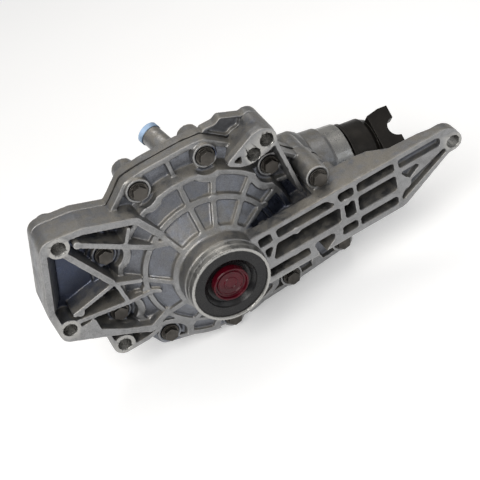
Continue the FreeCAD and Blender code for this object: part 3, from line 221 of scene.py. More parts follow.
class Graph:
    """Adds shader nodes to one material or world and joins them"""

    def __init__(self, owner):
        self.owner = owner
        owner.use_nodes = True
        self.tree = owner.node_tree
        self.tree.nodes.clear()

    def add(self, kind, inputs=(), **settings):
        node = self.tree.nodes.new(kind)
        for key, value in settings.items():
            setattr(node, key, value)
        for key, value in dict(inputs).items():
            self.feed(node.inputs[key], value)
        return node

    def feed(self, socket, value):
        if isinstance(value, bpy.types.NodeSocket):
            self.tree.links.new(value, socket)
        elif hasattr(value, "__len__") and socket.type == "RGBA" and len(value) == 3:
            socket.default_value = (*value, 1.0)
        else:
            socket.default_value = value

    def place(self):
        return self.add("ShaderNodeTexCoord").outputs["Object"]

    def object_normal(self):
        return self.add("ShaderNodeTexCoord").outputs["Normal"]

    def noise(self, vector, scale, detail=3.0, rough=0.55, distortion=0.0):
        settings = {"Scale": scale, "Detail": detail, "Roughness": rough, "Distortion": distortion}
        return self.add("ShaderNodeTexNoise", {"Vector": vector, **settings}).outputs["Fac"]

    def voronoi(self, vector, scale):
        return self.add("ShaderNodeTexVoronoi", {"Vector": vector, "Scale": scale}).outputs["Distance"]

    def attribute(self, name):
        return self.add("ShaderNodeAttribute", attribute_name=name).outputs["Fac"]

    def span(self, value, low, high, to_low=0.0, to_high=1.0):
        node = self.add("ShaderNodeMapRange", {
            "Value": value, "From Min": low, "From Max": high, "To Min": to_low, "To Max": to_high})
        node.interpolation_type = "SMOOTHSTEP"
        return node.outputs["Result"]

    def math(self, operation, first, second=0.0):
        node = self.add("ShaderNodeMath", operation=operation)
        self.feed(node.inputs[0], first)
        self.feed(node.inputs[1], second)
        return node.outputs[0]

    def blend(self, factor, first, second):
        node = self.add("ShaderNodeMix", data_type="RGBA")
        self.feed(node.inputs["Factor"], factor)
        self.feed(node.inputs[6], first)
        self.feed(node.inputs[7], second)
        return node.outputs[2]

    def part(self, vector, letter):
        return self.add("ShaderNodeSeparateXYZ", {"Vector": vector}).outputs[letter]

    def bump(self, height, distance, strength=1.0, normal=None):
        node = self.add("ShaderNodeBump", {"Height": height, "Distance": distance, "Strength": strength})
        if normal is not None:
            self.feed(node.inputs["Normal"], normal)
        return node.outputs["Normal"]

    def rounded(self, radius):
        return self.add("ShaderNodeBevel", {"Radius": radius}, samples=6).outputs["Normal"]

    def edge(self, radius):
        """Mask of the edges: how far the rounded normal leans from the true one."""
        true = self.add("ShaderNodeNewGeometry").outputs["True Normal"]
        lean = self.add("ShaderNodeVectorMath", operation="DOT_PRODUCT")
        self.feed(lean.inputs[0], self.rounded(radius))
        self.feed(lean.inputs[1], true)
        return self.span(self.math("SUBTRACT", 1.0, lean.outputs["Value"]), 0.02, 0.25)

    def finish(self, **sockets):
        shader = self.add("ShaderNodeBsdfPrincipled", {
            key.replace("_", " "): value for key, value in sockets.items()})
        output = self.add("ShaderNodeOutputMaterial")
        self.tree.links.new(shader.outputs["BSDF"], output.inputs["Surface"])
        return self.owner


def cast_skin(name, tone):
    """Cast aluminium: crests worn bright with a painted highlight, painted shade in pockets and corners,
    painted warm top light on faces that look up, machined spots.
    """
    g = Graph(bpy.data.materials.new(name))
    place = g.place()
    broad = g.noise(place, 16.0, 5.0, 0.6, 0.4)
    mottle = g.noise(place, 95.0, 4.0, 0.6)
    fine = g.noise(place, 620.0, 3.0, 0.6)
    pits = g.voronoi(place, 340.0)
    recess = g.attribute("recess")
    crest = g.attribute("crest_edge")
    grain = g.noise(place, 1500.0, 2.0, 0.7)
    corner = g.attribute("corner")
    turned = g.attribute("machined")
    drift = g.math("MULTIPLY", g.math("SUBTRACT", broad, 0.5), g.math("MULTIPLY", recess, 0.8))
    uneven = g.math("ADD", recess, drift)
    # Painted shade: sunken panels turn blue-grey and deep pockets navy, by how far the skin lies behind the
    # crests.
    panel = g.span(uneven, 0.05, 0.42)
    deep = g.span(uneven, 0.42, 0.95)
    colour = g.blend(deep, g.blend(panel, tone.crest, tone.panel_shade), tone.pocket_shade)
    # Painted warm top light: faces that look up turn tan, made patchy by noise.
    up = g.span(g.part(g.object_normal(), "Z"), 0.15, 0.8)
    toplight = g.math("MULTIPLY", up, g.span(g.math("ADD", broad, mottle), 0.75, 1.2))
    colour = g.blend(g.math("MULTIPLY", toplight, 0.85), colour, tone.top_light_tint)
    # Stain and glint fade inside the painted pocket shade.
    out_of_pocket_shade = g.span(deep, 0.0, 1.0, 1.0, 0.45)
    stain = g.math("MULTIPLY", g.span(mottle, 0.35, 0.7, 0.0, 0.28), out_of_pocket_shade)
    colour = g.blend(stain, colour, (0.11, 0.108, 0.105))
    # Bright crests: partly wear, partly a painted highlight on convex edges.
    worn = g.math("MULTIPLY", crest, g.span(g.math("ADD", mottle, fine), 0.75, 1.2, 0.3, 0.8))
    colour = g.blend(worn, colour, (0.56, 0.553, 0.54))
    glint = g.math("MULTIPLY", g.span(grain, 0.53, 0.68, 0.0, 0.32), out_of_pocket_shade)
    colour = g.blend(glint, colour, (0.42, 0.415, 0.40))
    colour = g.blend(g.span(grain, 0.47, 0.34, 0.0, 0.40), colour, tone.grime_and_shade)
    # Painted shade in concave corners, patchy by noise and weaker in pockets.
    grime_and_shade = g.math("MULTIPLY", corner, g.span(g.math("ADD", broad, fine), 0.7, 1.3, 0.1, 0.55))
    grime_and_shade = g.math("MULTIPLY", grime_and_shade, g.span(deep, 0.0, 1.0, 1.0, 0.3))
    colour = g.blend(grime_and_shade, colour, tone.grime_and_shade)
    colour = g.blend(g.span(pits, 0.13, 0.05, 0.0, 0.5), colour, tone.grime_and_shade)
    colour = g.blend(turned, colour, tone.machined)
    rough = g.math("ADD", g.span(fine, 0.3, 0.7, 0.0, 0.16), g.span(mottle, 0.3, 0.75, 0.30, 0.46))
    rough = g.math("SUBTRACT", rough, g.math("MULTIPLY", deep, 0.08))
    rough = g.math("MULTIPLY", rough, g.span(turned, 0.0, 1.0, 1.0, 0.62))
    height = g.math("ADD", g.math("MULTIPLY", fine, 0.5), g.math("MULTIPLY", mottle, 0.9))
    height = g.math("SUBTRACT", height, g.span(pits, 0.16, 0.03, 0.0, 0.5))
    height = g.math("MULTIPLY", height, g.span(turned, 0.0, 1.0, 1.0, 0.12))
    metal = g.span(g.math("ADD", grime_and_shade, toplight), 0.0, 1.4, 0.92, 0.35)
    return g.finish(
        Base_Color=colour, Metallic=metal, Roughness=rough, Normal=g.bump(height, 0.0005, 0.75))


def worn_metal(name, base, wear, rough_low, rough_high, metallic, edge_radius=0.0006, grain=900.0):
    """Dark metal with worn edges, fine grain and a slightly oily, uneven gloss."""
    g = Graph(bpy.data.materials.new(name))
    place = g.place()
    cloud = g.noise(place, 55.0, 4.0, 0.6)
    fine = g.noise(place, grain, 3.0, 0.6)
    edge = g.math("MULTIPLY", g.edge(edge_radius), g.span(cloud, 0.25, 0.65, 0.35, 1.0))
    dark = tuple(c * 0.55 for c in base)
    colour = g.blend(g.span(cloud, 0.35, 0.7), base, dark)
    colour = g.blend(edge, colour, wear)
    colour = g.blend(g.span(fine, 0.62, 0.75, 0.0, 0.35), colour, tuple(min(1.0, c * 1.7) for c in base))
    rough = g.span(g.math("ADD", cloud, fine), 0.7, 1.3, rough_low, rough_high)
    return g.finish(
        Base_Color=colour, Metallic=metallic, Roughness=rough,
        Normal=g.bump(fine, 0.00025, 0.6, g.rounded(edge_radius)))


def rubber_skin(name, base, rough_low, rough_high, dust):
    """Black rubber or sealant with a little dust and a fine grain."""
    g = Graph(bpy.data.materials.new(name))
    place = g.place()
    cloud = g.noise(place, 70.0, 4.0, 0.6)
    fine = g.noise(place, 1100.0, 2.0)
    colour = g.blend(g.span(cloud, 0.4, 0.8, 0.0, dust), base, (0.14, 0.125, 0.10))
    rough = g.span(g.math("ADD", cloud, fine), 0.7, 1.3, rough_low, rough_high)
    return g.finish(
        Base_Color=colour, Roughness=rough, Specular_IOR_Level=0.3,
        Normal=g.bump(fine, 0.0002, 0.5, g.rounded(0.0005)))


def moulded_plastic(name, base, rough, coat):
    """Smooth plastic with a faint flow pattern and light scuffs."""
    g = Graph(bpy.data.materials.new(name))
    place = g.place()
    cloud = g.noise(place, 60.0, 3.0)
    scuff = g.noise(place, 700.0, 2.0, 0.5, 2.0)
    deeper = tuple(c * 0.6 for c in base)
    colour = g.blend(g.span(cloud, 0.35, 0.7), base, deeper)
    shine = g.span(scuff, 0.4, 0.7, rough, rough + 0.18)
    return g.finish(
        Base_Color=colour, Roughness=shine, Specular_IOR_Level=0.22, Coat_Weight=coat, Coat_Roughness=0.06,
        Normal=g.bump(cloud, 0.0003, 0.3, g.rounded(0.0006)))


def turned_steel(name, base, rough_low, rough_high):
    """Bright steel with faint tool lines."""
    g = Graph(bpy.data.materials.new(name))
    place = g.place()
    cloud = g.noise(place, 40.0, 3.0)
    lines = g.noise(place, 1500.0, 2.0, 0.5, 0.6)
    colour = g.blend(g.span(cloud, 0.3, 0.75), base, tuple(c * 0.72 for c in base))
    rough = g.span(lines, 0.3, 0.7, rough_low, rough_high)
    return g.finish(
        Base_Color=colour, Metallic=1.0, Roughness=rough,
        Normal=g.bump(lines, 0.00012, 0.5, g.rounded(0.0004)))


def build_finishes(tone):
    return {
        "cast_aluminium": cast_skin("cast_aluminium_skin", tone),
        "sealant": rubber_skin("sealant_skin", tone.sealant, 0.25, 0.5, 0.25),
        "bolt_steel": worn_metal("bolt_phosphate", tone.bolt, tone.bolt_wear, 0.28, 0.5, 0.85),
        "seal_rubber": rubber_skin("seal_rubber_skin", tone.rubber, 0.16, 0.34, 0.05),
        "red_plastic": moulded_plastic("red_plug_plastic", tone.red, 0.14, 0.1),
        "blue_plastic": moulded_plastic("blue_cap_plastic", tone.blue, 0.4, 0.0),
        # The vent pipe shares the cast skin, with its painted warm top light.
        "vent_tube": cast_skin("vent_pipe_skin", tone),
        "black_iron": worn_metal(
            "yoke_iron", tone.iron, (0.10, 0.095, 0.085), 0.3, 0.55, 0.6, edge_radius=0.0009, grain=500.0),
        "case_iron": worn_metal("case_iron", (0.2, 0.2, 0.2), (0.34, 0.34, 0.33), 0.35, 0.55, 0.9),
        "gear_steel": turned_steel("gear_steel_skin", tone.steel, 0.22, 0.4),
        "bearing_steel": turned_steel("bearing_steel_skin", (0.55, 0.55, 0.54), 0.12, 0.28),
    }


def all_finishes(context):
    found = {m["axle_slot"]: m for m in bpy.data.materials if "axle_slot" in m}
    if not found:
        for slot, material in build_finishes(finish_of(context)).items():
            material["axle_slot"] = slot
            found[slot] = material
    return found


def slot_of(node):
    for entry in frame["record"]["subparts"]:
        if entry["node"] == node:
            return entry["material_slot"]
    raise RuntimeError("no material slot for " + node)


def body_of_node(node):
    for body, members in frame["record"]["behaviour"]["bodies"].items():
        if node in members:
            return body
    raise RuntimeError("no body for " + node)


def paint(piece, material):
    piece.data.materials.clear()
    piece.data.materials.append(material)


def dress_nodes(context, names):
    finishes = all_finishes(context)
    for name in names:
        paint(nodes[name], finishes[slot_of(name)])


def link_piece(context, name, mesh):
    piece = bpy.data.objects.new(name, mesh)
    context.scene.collection.objects.link(piece)
    return piece


def neighbour_mean(first, second, count, values):
    total = np.empty_like(values)
    for axis in range(values.shape[1]):
        total[:, axis] = np.bincount(first, values[second, axis], len(values))
        total[:, axis] += np.bincount(second, values[first, axis], len(values))
    return total / count[:, None]


def smooth_step(value, low, high):
    t = np.clip((value - low) / (high - low), 0.0, 1.0)
    return t * t * (3 - 2 * t)


def flatten(points, machined, x, z, radius, face_y, strength=1.0):
    """Lays the skin flat on a machined round face and marks it."""
    away = np.hypot(points[:, 0] - x, points[:, 2] - z)
    near = (away < radius) & (np.abs(points[:, 1] - face_y) < 0.9)
    points[near & (away < radius - 0.9), 1] = face_y
    mark = smooth_step(radius - away, 0.0, 0.5) * (np.abs(points[:, 1] - face_y) < 0.6) * strength
    return np.maximum(machined, mark)


def true_up(points, machined, x, z, radius, low_y, high_y):
    """Brings the skin onto a bored or turned wall and marks it."""
    side = points[:, (0, 2)] - np.array((x, z))
    away = np.linalg.norm(side, axis=1)
    near = (np.abs(away - radius) < 0.8) & (points[:, 1] > low_y + 0.7) & (points[:, 1] < high_y - 0.7)
    points[np.ix_(near, (0, 2))] = np.array((x, z)) + side[near] * (radius / away[near])[:, None]
    mark = (np.abs(away - radius) < 0.5) & (points[:, 1] > low_y - 0.3) & (points[:, 1] < high_y + 0.3)
    return np.maximum(machined, mark.astype(float))


def slanting_edge(x, edge):
    """Height of a slanting edge at x; the edge is one of its points (x, z) and its slope."""
    start_x, start_z, slope = edge
    return start_z + slope * (x - start_x)


def crest_line(x, y, z, radius):
    """How far back the rib crests and front faces of the cover lie at each point."""
    crest_y = np.interp(radius, CONE_CREST_R, CONE_CREST_Y)
    left = (x < BRACKET_X) & (radius > BRACKET_R)
    crest_y = np.where(left & (z > slanting_edge(x, BRACKET_EDGE)), BRACKET_Y, crest_y)
    crest_y = np.where(left & (z < slanting_edge(x, FOOT_EDGE)), FOOT_Y, crest_y)
    crest_y = np.where((x > ARM_X) & (z > ARM_Z[0]) & (z < ARM_Z[1]), ARM_Y, crest_y)
    return np.where((x > LUG_X) & (z > LUG_Z) & (y < LUG_ROOT_Y), LUG_Y, crest_y)


def cover_masks(points, normals):
    """Machined parts of the front cover, and painted shade by how far the skin is sunk behind the crests,
    in millimetres; trues up the machined skin.
    """
    machined = np.zeros(len(points))
    for x, z, radius, face_y in [BOSS_FACE] + MOUNT_FACES:
        machined = flatten(points, machined, x, z, radius, face_y)
    for x, z, _, face_y in MOUNT_FACES:
        machined = true_up(points, machined, x, z, BORE_R, face_y, COVER_BACK_Y)
    for radius, low_y, high_y in BOSS_WALLS:
        true_up(points, machined, 0.0, 0.0, radius, low_y, high_y)
    away = np.hypot(points[:, 0], points[:, 2])
    side = smooth_step(BOSS_TURNED_R - away, 0.0, 0.3) * smooth_step(BOSS_TURNED_Y - points[:, 1], 0.0, 0.5)
    machined = np.maximum(machined, side * BOSS_TURNED_SHARE)
    for x, z, seat_y in BOLT_SEATS:
        machined = flatten(points, machined, x, z, SPOT_R, seat_y, SPOT_SHARE)
    x, y, z = points.T
    radius = np.hypot(x, z)
    depth = np.where(radius < BOSS_TURNED_R - 0.1, 0.0, y - crest_line(x, y, z, radius))
    # Painted shade, stronger on floors that face towards -Y.
    floors = smooth_step(-normals[:, 1], 0.2, 0.7)
    painted_shade = smooth_step(depth, 1.4, 4.2) * 0.45 * floors
    painted_shade = np.maximum(painted_shade, smooth_step(depth, 4.0, 24.0) * (0.35 + 0.65 * floors))
    return machined, painted_shade


def rear_masks(points, normals):
    """Machined parts of the rear carrier, and painted shade on faces that look along Y, in millimetres."""
    machined = np.zeros(len(points))
    machined = flatten(points, machined, 0.0, 0.0, REAR_BOSS_R, REAR_FACE_Y)
    machined = true_up(points, machined, 0.0, 0.0, REAR_BOSS_R, REAR_BOSS_START_Y, REAR_FACE_Y)
    for x, z, _, _ in REAR_MOUNTS:
        machined = true_up(points, machined, x, z, BORE_R, REAR_FRONT_Y, REAR_LUG_BACK_Y)
    away = points - np.array(PINION_POINT)
    along = away @ np.array(PINION_AXIS)
    around = np.linalg.norm(away - along[:, None] * np.array(PINION_AXIS), axis=1)
    neck = smooth_step(along, NECK_START, NECK_START + 1.0) * smooth_step(NECK_R - around, 0.0, 0.6)
    machined = np.maximum(machined, neck * NECK_SHARE)
    # Painted shade on faces that look along Y.
    painted_shade = smooth_step(np.abs(normals[:, 1]), 0.5, 0.9) * 0.35
    return machined, painted_shade


def lathe(mesh, profile, x=0.0, z=0.0, sides=72):
    """Closed ring of (radius, y) points turned about an axis along Y, in millimetres."""
    rings = []
    for k in range(sides):
        turn = 2 * math.pi * k / sides
        rings.append([
            mesh.verts.new(((x + r * math.cos(turn)) * MM, y * MM, (z + r * math.sin(turn)) * MM))
            for r, y in profile])
    for k, ring in enumerate(rings):
        following = rings[(k + 1) % sides]
        for i in range(len(profile)):
            mesh.faces.new((ring[i - 1], ring[i], following[i], following[i - 1]))


def casting_with_collars(node, low_y, high_y):
    """The casting's mesh with a collar of cast metal round each lug hole."""
    mesh = bmesh.new()
    for x, z, outer in LUG_COLLARS:
        profile = [(BORE_R, low_y), (outer, low_y), (outer, high_y), (BORE_R, high_y)]
        lathe(mesh, profile, x, z)
    bmesh.ops.recalc_face_normals(mesh, faces=mesh.faces)
    mesh.from_mesh(nodes[node].data)
    data = nodes[node].data.copy()
    mesh.to_mesh(data)
    mesh.free()
    return data


def cast_piece(context, node, name, masks, collar_ends):
    """Copy of a casting with rounded edges, carrying the masks of its finish and of its painted shade."""
    size = context.scene.axle_size
    piece = link_piece(context, name, casting_with_collars(node, *collar_ends))
    remesh = piece.modifiers.new("Skin", "REMESH")
    remesh.mode = "VOXEL"
    remesh.voxel_size = size.voxel * 1.0
    graph = context.evaluated_depsgraph_get()
    mesh = bpy.data.meshes.new_from_object(piece.evaluated_get(graph))
    piece.modifiers.clear()
    piece.data = mesh
    total = len(mesh.vertices)
    points = np.empty(total * 3)
    mesh.vertices.foreach_get("co", points)
    points = points.reshape(-1, 3)
    pairs = np.empty(len(mesh.edges) * 2, dtype=np.int32)
    mesh.edges.foreach_get("vertices", pairs)
    first, second = pairs.reshape(-1, 2).T
    count = np.bincount(first, minlength=total) + np.bincount(second, minlength=total)
    for _ in range(size.relax):
        points = points * KEEP_SHARE + neighbour_mean(first, second, count, points) * RELAX_SHARE
    mesh.vertices.foreach_set("co", points.ravel())
    mesh.update()
    normals = np.empty(total * 3)
    mesh.vertices.foreach_get("normal", normals)
    normals = normals.reshape(-1, 3)
    placed = points / MM
    machined, recess = masks(placed, normals)
    points = np.clip(placed * MM, cad_low, cad_high)
    mesh.vertices.foreach_set("co", points.ravel())
    wide = points.copy()
    for _ in range(BULGE_ROUNDS):
        wide = neighbour_mean(first, second, count, wide)
    bulge = ((points - wide) * normals).sum(axis=1) / MM
    # The sunk mask paints shade; crest_edge drives worn edges with a painted highlight; corner drives
    # painted shade in corners.
    layers = {
        "machined": machined, "recess": recess,
        "crest_edge": smooth_step(bulge, *CREST_BULGE), "corner": smooth_step(-bulge, *CORNER_BULGE)}
    for key, values in layers.items():
        layer = mesh.attributes.new(key, "FLOAT", "POINT")
        layer.data.foreach_set("value", values.astype(np.float32))
    mesh.polygons.foreach_set("use_smooth", [True] * len(mesh.polygons))
    mesh.update()
    thin = piece.modifiers.new("Thin", "DECIMATE")
    thin.ratio = min(1.0, size.skin_faces / (2.0 * len(mesh.polygons)))
    weigh = piece.modifiers.new("Weigh", "WEIGHTED_NORMAL")
    weigh.keep_sharp = False
    weigh.weight = 60
    graph = context.evaluated_depsgraph_get()
    final = bpy.data.meshes.new_from_object(piece.evaluated_get(graph))
    piece.modifiers.clear()
    piece.data = final
    paint(piece, all_finishes(context)["cast_aluminium"])
    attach(piece, body_of_node(node))
    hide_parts(node)
    return piece


class AXLE_OT_castings(bpy.types.Operator):
    """Builds the cast skins of the front cover and the rear carrier"""

    bl_idname = "axle.castings"
    bl_label = "Castings"

    def execute(self, context):
        cover_ends = (COLLAR_START_Y, COVER_BACK_Y)
        rear_ends = (REAR_FRONT_Y, REAR_LUG_BACK_Y)
        cast_piece(context, "front_cover", "cover_casting", cover_masks, cover_ends)
        cast_piece(context, "rear_carrier", "rear_casting", rear_masks, rear_ends)
        return {"FINISHED"}


def outer_loop(node):
    """Points of the longest edge loop on the back face of a flat part."""
    mesh = bmesh.new()
    mesh.from_mesh(nodes[node].data)
    bmesh.ops.remove_doubles(mesh, verts=mesh.verts, dist=1e-6)
    back = max(v.co.y for v in mesh.verts)
    rim = [e for e in mesh.edges if all(abs(v.co.y - back) < 1e-5 for v in e.verts)]
    rim = [e for e in rim if any(abs(f.normal.y) < 0.5 for f in e.link_faces)]
    links = {}
    for edge in rim:
        a, b = edge.verts
        links.setdefault(a.index, []).append(b.index)
        links.setdefault(b.index, []).append(a.index)
    places = {v.index: v.co.copy() for v in mesh.verts}
    mesh.free()
    loops = []
    unseen = set(links)
    while unseen:
        start = min(unseen)
        loop = [start]
        unseen.discard(start)
        here = start
        while True:
            onward = [n for n in links[here] if n in unseen]
            if not onward:
                break
            here = onward[0]
            unseen.discard(here)
            loop.append(here)
        loops.append([places[i] for i in loop])

    def reach(loop):
        return sum((p - loop[i - 1]).length for i, p in enumerate(loop))

    return max(loops, key=reach)


def even_steps(loop, step):
    """The same closed line cut into steps of one length."""
    points = []
    for i, start in enumerate(loop):
        end = loop[(i + 1) % len(loop)]
        pieces = max(1, int(round((end - start).length / step)))
        points += [start.lerp(end, k / pieces) for k in range(pieces)]
    return points


def swept_bead(name, line, thickness, wander, sides=8):
    """Uneven closed bead along a line in the XZ plane."""
    mesh = bmesh.new()
    rings = []
    total = len(line)
    for i, point in enumerate(line):
        ahead = (line[(i + 1) % total] - line[i - 1]).normalized()
        out = ahead.cross(Vector((0, 1, 0))).normalized()
        swell = smooth_step(wander(i, 0.31), 0.3, 0.75)
        radius = thickness * (0.3 + 0.9 * swell + 0.35 * wander(i, 1.7))
        centre = point + out * thickness * 0.5 * (wander(i, 0.83) - 0.5)
        centre.y += thickness * 0.7 * (wander(i, 0.53) - 0.5)
        ring = []
        for k in range(sides):
            turn = 2 * math.pi * k / sides
            offset = out * math.cos(turn) + Vector((0, 1, 0)) * math.sin(turn)
            spot = centre + offset * radius
            spot.z = min(spot.z, cad_high.z)
            ring.append(mesh.verts.new(spot))
        rings.append(ring)
    for i, ring in enumerate(rings):
        following = rings[(i + 1) % total]
        for k in range(sides):
            mesh.faces.new((ring[k], ring[(k + 1) % sides], following[(k + 1) % sides], following[k]))
    bmesh.ops.recalc_face_normals(mesh, faces=mesh.faces)
    data = bpy.data.meshes.new(name)
    mesh.to_mesh(data)
    mesh.free()
    data.polygons.foreach_set("use_smooth", [True] * len(data.polygons))
    return data


def rough_wave(index, seed):
    """Repeatable uneven value between 0 and 1 along a line."""
    value = 0.0
    for octave, share in ((0.11, 0.45), (0.29, 0.3), (0.71, 0.25)):
        value += share * (0.5 + 0.5 * math.sin(index * octave * (1 + seed * 0.13) + seed * 7.1))
    return value


class AXLE_OT_sealant(bpy.types.Operator):
    """Adds the sealant that was squeezed out along the split of the castings"""

    bl_idname = "axle.sealant"
    bl_label = "Sealant"

    def execute(self, context):
        dress_nodes(context, ["sealant_bead"])
        line = even_steps(outer_loop("sealant_bead"), 0.0022)
        mesh = swept_bead("sealant_squeeze", line, context.scene.axle_size.bead, rough_wave)
        piece = link_piece(context, "sealant_squeeze", mesh)
        paint(piece, all_finishes(context)["sealant"])
        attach(piece, body_of_node("sealant_bead"))
        return {"FINISHED"}


class AXLE_OT_fasteners(bpy.types.Operator):
    """Finishes the bolts, dowels and screw plugs of the housing"""

    bl_idname = "axle.fasteners"
    bl_label = "Fasteners"

    def execute(self, context):
        names = [n for n in nodes if n.startswith(("cover_bolt", "dowel_pin"))]
        dress_nodes(context, names + ["fill_plug", "drain_plug"])
        return {"FINISHED"}


def shipping_plug(context, node, name, face_y, inward):
    """Turned dish that takes the place of a packed shipping plug."""
    mesh = bmesh.new()
    lathe(mesh, [(r, face_y + inward * depth) for r, depth in PLUG_PROFILE])
    bmesh.ops.remove_doubles(mesh, verts=mesh.verts, dist=1e-6)
    bmesh.ops.recalc_face_normals(mesh, faces=mesh.faces)
    data = bpy.data.meshes.new(name)
    mesh.to_mesh(data)
    mesh.free()
    piece = link_piece(context, name, data)
    paint(piece, all_finishes(context)["red_plastic"])
    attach(piece, body_of_node(node))
    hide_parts(node)


class AXLE_OT_seals(bpy.types.Operator):
    """Finishes the output seals and their shipping plugs"""

    bl_idname = "axle.seals"
    bl_label = "Seals and plugs"

    def execute(self, context):
        dress_nodes(context, ["front_output_seal", "rear_output_seal", "pinion_seal"])
        shipping_plug(context, "front_output_plug", "front_shipping_plug", 0.0, 1.0)
        shipping_plug(context, "rear_output_plug", "rear_shipping_plug", REAR_FACE_Y, -1.0)
        return {"FINISHED"}


class AXLE_OT_vent(bpy.types.Operator):
    """Finishes the vent pipe and its cap"""

    bl_idname = "axle.vent"
    bl_label = "Vent"

    def execute(self, context):
        dress_nodes(context, ["vent_pipe", "vent_cap"])
        return {"FINISHED"}


class AXLE_OT_yoke(bpy.types.Operator):
    """Finishes the yoke, its shield and its nut"""

    bl_idname = "axle.yoke"
    bl_label = "Yoke"

    def execute(self, context):
        dress_nodes(context, ["yoke", "dust_shield", "pinion_washer", "pinion_nut"])
        return {"FINISHED"}


def is_bare(part):
    """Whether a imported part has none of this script's finishes yet."""
    worn = [m for m in part.data.materials if m and "axle_slot" in m]
    return not worn


class AXLE_OT_drive(bpy.types.Operator):
    """Finishes the gears, case and bearings inside"""

    bl_idname = "axle.drive"
    bl_label = "Drive inside"

    def execute(self, context):
        replaced = ("front_cover", "rear_carrier", "front_output_plug", "rear_output_plug")
        dress_nodes(context, [n for n, part in nodes.items() if n not in replaced and is_bare(part)])
        return {"FINISHED"}


def area_lamp(context, name, place, size, power, colour):
    """Soft rectangular lamp that shines at the middle of the carrier."""
    lamp = bpy.data.lights.new(name, "AREA")
    lamp.shape = "RECTANGLE"
    lamp.size, lamp.size_y = size
    lamp.energy = power
    lamp.color = colour
    holder = bpy.data.objects.new(name, lamp)
    holder.location = place
    holder.rotation_euler = (axle_centre - Vector(place)).to_track_quat("-Z", "Y").to_euler()
    context.scene.collection.objects.link(holder)


def floor_material(tone):
    """Pale floor that reads white to the camera, to metal and to glass, and keeps its shadow."""
    g = Graph(bpy.data.materials.new("studio_floor"))
    grain = g.noise(g.place(), 3.0, 2.0)
    colour = g.blend(g.span(grain, 0.3, 0.7), tone, tuple(c * 0.98 for c in tone))
    diffuse = g.add("ShaderNodeBsdfDiffuse", {"Color": colour})
    rays = g.add("ShaderNodeLightPath").outputs
    through = g.math("MAXIMUM", rays["Is Glossy Ray"], rays["Is Transmission Ray"])
    seen = g.math("MAXIMUM", rays["Is Camera Ray"], through)
    glow = g.add("ShaderNodeEmission", {"Strength": g.math("MULTIPLY", seen, 0.30)})
    both = g.add("ShaderNodeAddShader")
    g.tree.links.new(diffuse.outputs[0], both.inputs[0])
    g.tree.links.new(glow.outputs[0], both.inputs[1])
    output = g.add("ShaderNodeOutputMaterial")
    g.tree.links.new(both.outputs[0], output.inputs["Surface"])
    return g.owner


def build_world(context, ambient):
    """Even room light, stronger from above, that reads white to the camera and through glass."""
    world = bpy.data.worlds.new("studio_room")
    context.scene.world = world
    g = Graph(world)
    rays = g.add("ShaderNodeLightPath").outputs
    seen = g.math("MAXIMUM", rays["Is Camera Ray"], rays["Is Transmission Ray"])
    height = g.part(g.add("ShaderNodeTexCoord").outputs["Generated"], "Z")
    room = g.add("ShaderNodeMapRange", {
        "Value": height, "From Min": -0.2, "From Max": 0.9,
        "To Min": ambient * 0.55, "To Max": ambient * 1.5})
    pick = g.add("ShaderNodeMix", {"Factor": seen})
    g.feed(pick.inputs[2], room.outputs["Result"])
    g.feed(pick.inputs[3], 1.0)
    sky = g.add("ShaderNodeBackground", {"Strength": pick.outputs[0]})
    output = g.add("ShaderNodeOutputWorld")
    g.tree.links.new(sky.outputs[0], output.inputs["Surface"])


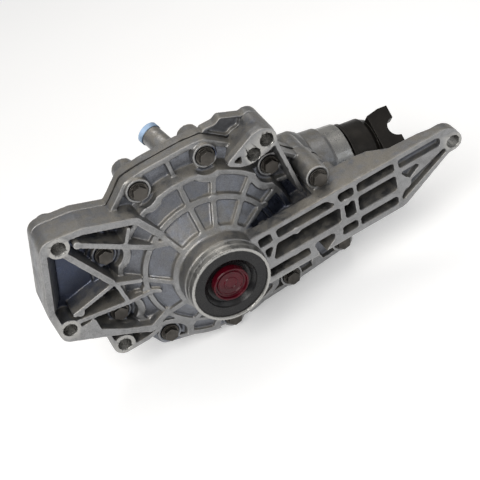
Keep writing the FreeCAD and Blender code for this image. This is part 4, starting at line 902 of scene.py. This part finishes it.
class AXLE_OT_stage(bpy.types.Operator):
    """Sets the floor, room light, lamps and camera"""

    bl_idname = "axle.stage"
    bl_label = "Stage"

    def execute(self, context):
        stage = context.scene.axle_stage
        mesh = bpy.data.meshes.new("studio_floor")
        corners = [(x * FLOOR_REACH, y * FLOOR_REACH, cad_low.z - FLOOR_DROP) for x, y in FLOOR_CORNERS]
        mesh.from_pydata(corners, [], [(0, 1, 2, 3)])
        floor = link_piece(context, "studio_floor", mesh)
        paint(floor, floor_material(tuple(stage.floor)))
        build_world(context, stage.ambient)
        for name, place, size, colour in LAMPS:
            area_lamp(context, name, place, size, getattr(stage, name + "_power"), colour)
        camera = bpy.data.cameras.new("photo_camera")
        camera.lens = stage.lens
        camera.sensor_width = 36.0
        camera.clip_start = 0.01
        camera.clip_end = 100.0
        holder = bpy.data.objects.new("photo_camera", camera)
        back = CAMERA_RIGHT.cross(CAMERA_UP).normalized()
        right = CAMERA_RIGHT.normalized()
        up = back.cross(right)
        turn = Matrix((right, up, back)).transposed()
        holder.matrix_world = Matrix.Translation(CAMERA_PLACE) @ turn.to_4x4()
        context.scene.collection.objects.link(holder)
        context.scene.camera = holder
        context.scene.view_settings.view_transform = "Standard"
        return {"FINISHED"}


class AXLE_PT_panel(bpy.types.Panel):
    """Lists the steps that dress the axle carrier"""

    bl_idname = "AXLE_PT_panel"
    bl_label = "Axle carrier"
    bl_space_type = "VIEW_3D"
    bl_region_type = "UI"
    bl_category = "Axle"

    def draw(self, context):
        for operator in OPERATORS:
            self.layout.operator(operator.bl_idname)
        for group in (context.scene.axle_finish, context.scene.axle_size, context.scene.axle_stage):
            box = self.layout.box()
            for key in group.__annotations__:
                box.prop(group, key)


GROUPS = {"axle_finish": AxleFinish, "axle_size": AxleSize, "axle_stage": AxleStage}
OPERATORS = (
    AXLE_OT_castings, AXLE_OT_sealant, AXLE_OT_fasteners, AXLE_OT_seals, AXLE_OT_vent, AXLE_OT_yoke,
    AXLE_OT_drive, AXLE_OT_stage)


def register():
    for key, group in GROUPS.items():
        bpy.utils.register_class(group)
        setattr(bpy.types.Scene, key, PointerProperty(type=group))
    for item in (*OPERATORS, AXLE_PT_panel):
        bpy.utils.register_class(item)


def unregister():
    for item in (AXLE_PT_panel, *reversed(OPERATORS)):
        bpy.utils.unregister_class(item)
    for key, group in reversed(list(GROUPS.items())):
        delattr(bpy.types.Scene, key)
        bpy.utils.unregister_class(group)


def main():
    register()
    bpy.ops.axle.castings()
    bpy.ops.axle.sealant()
    bpy.ops.axle.fasteners()
    bpy.ops.axle.seals()
    bpy.ops.axle.vent()
    bpy.ops.axle.yoke()
    bpy.ops.axle.drive()
    bpy.ops.axle.stage()


if __name__ == "__main__":
    main()
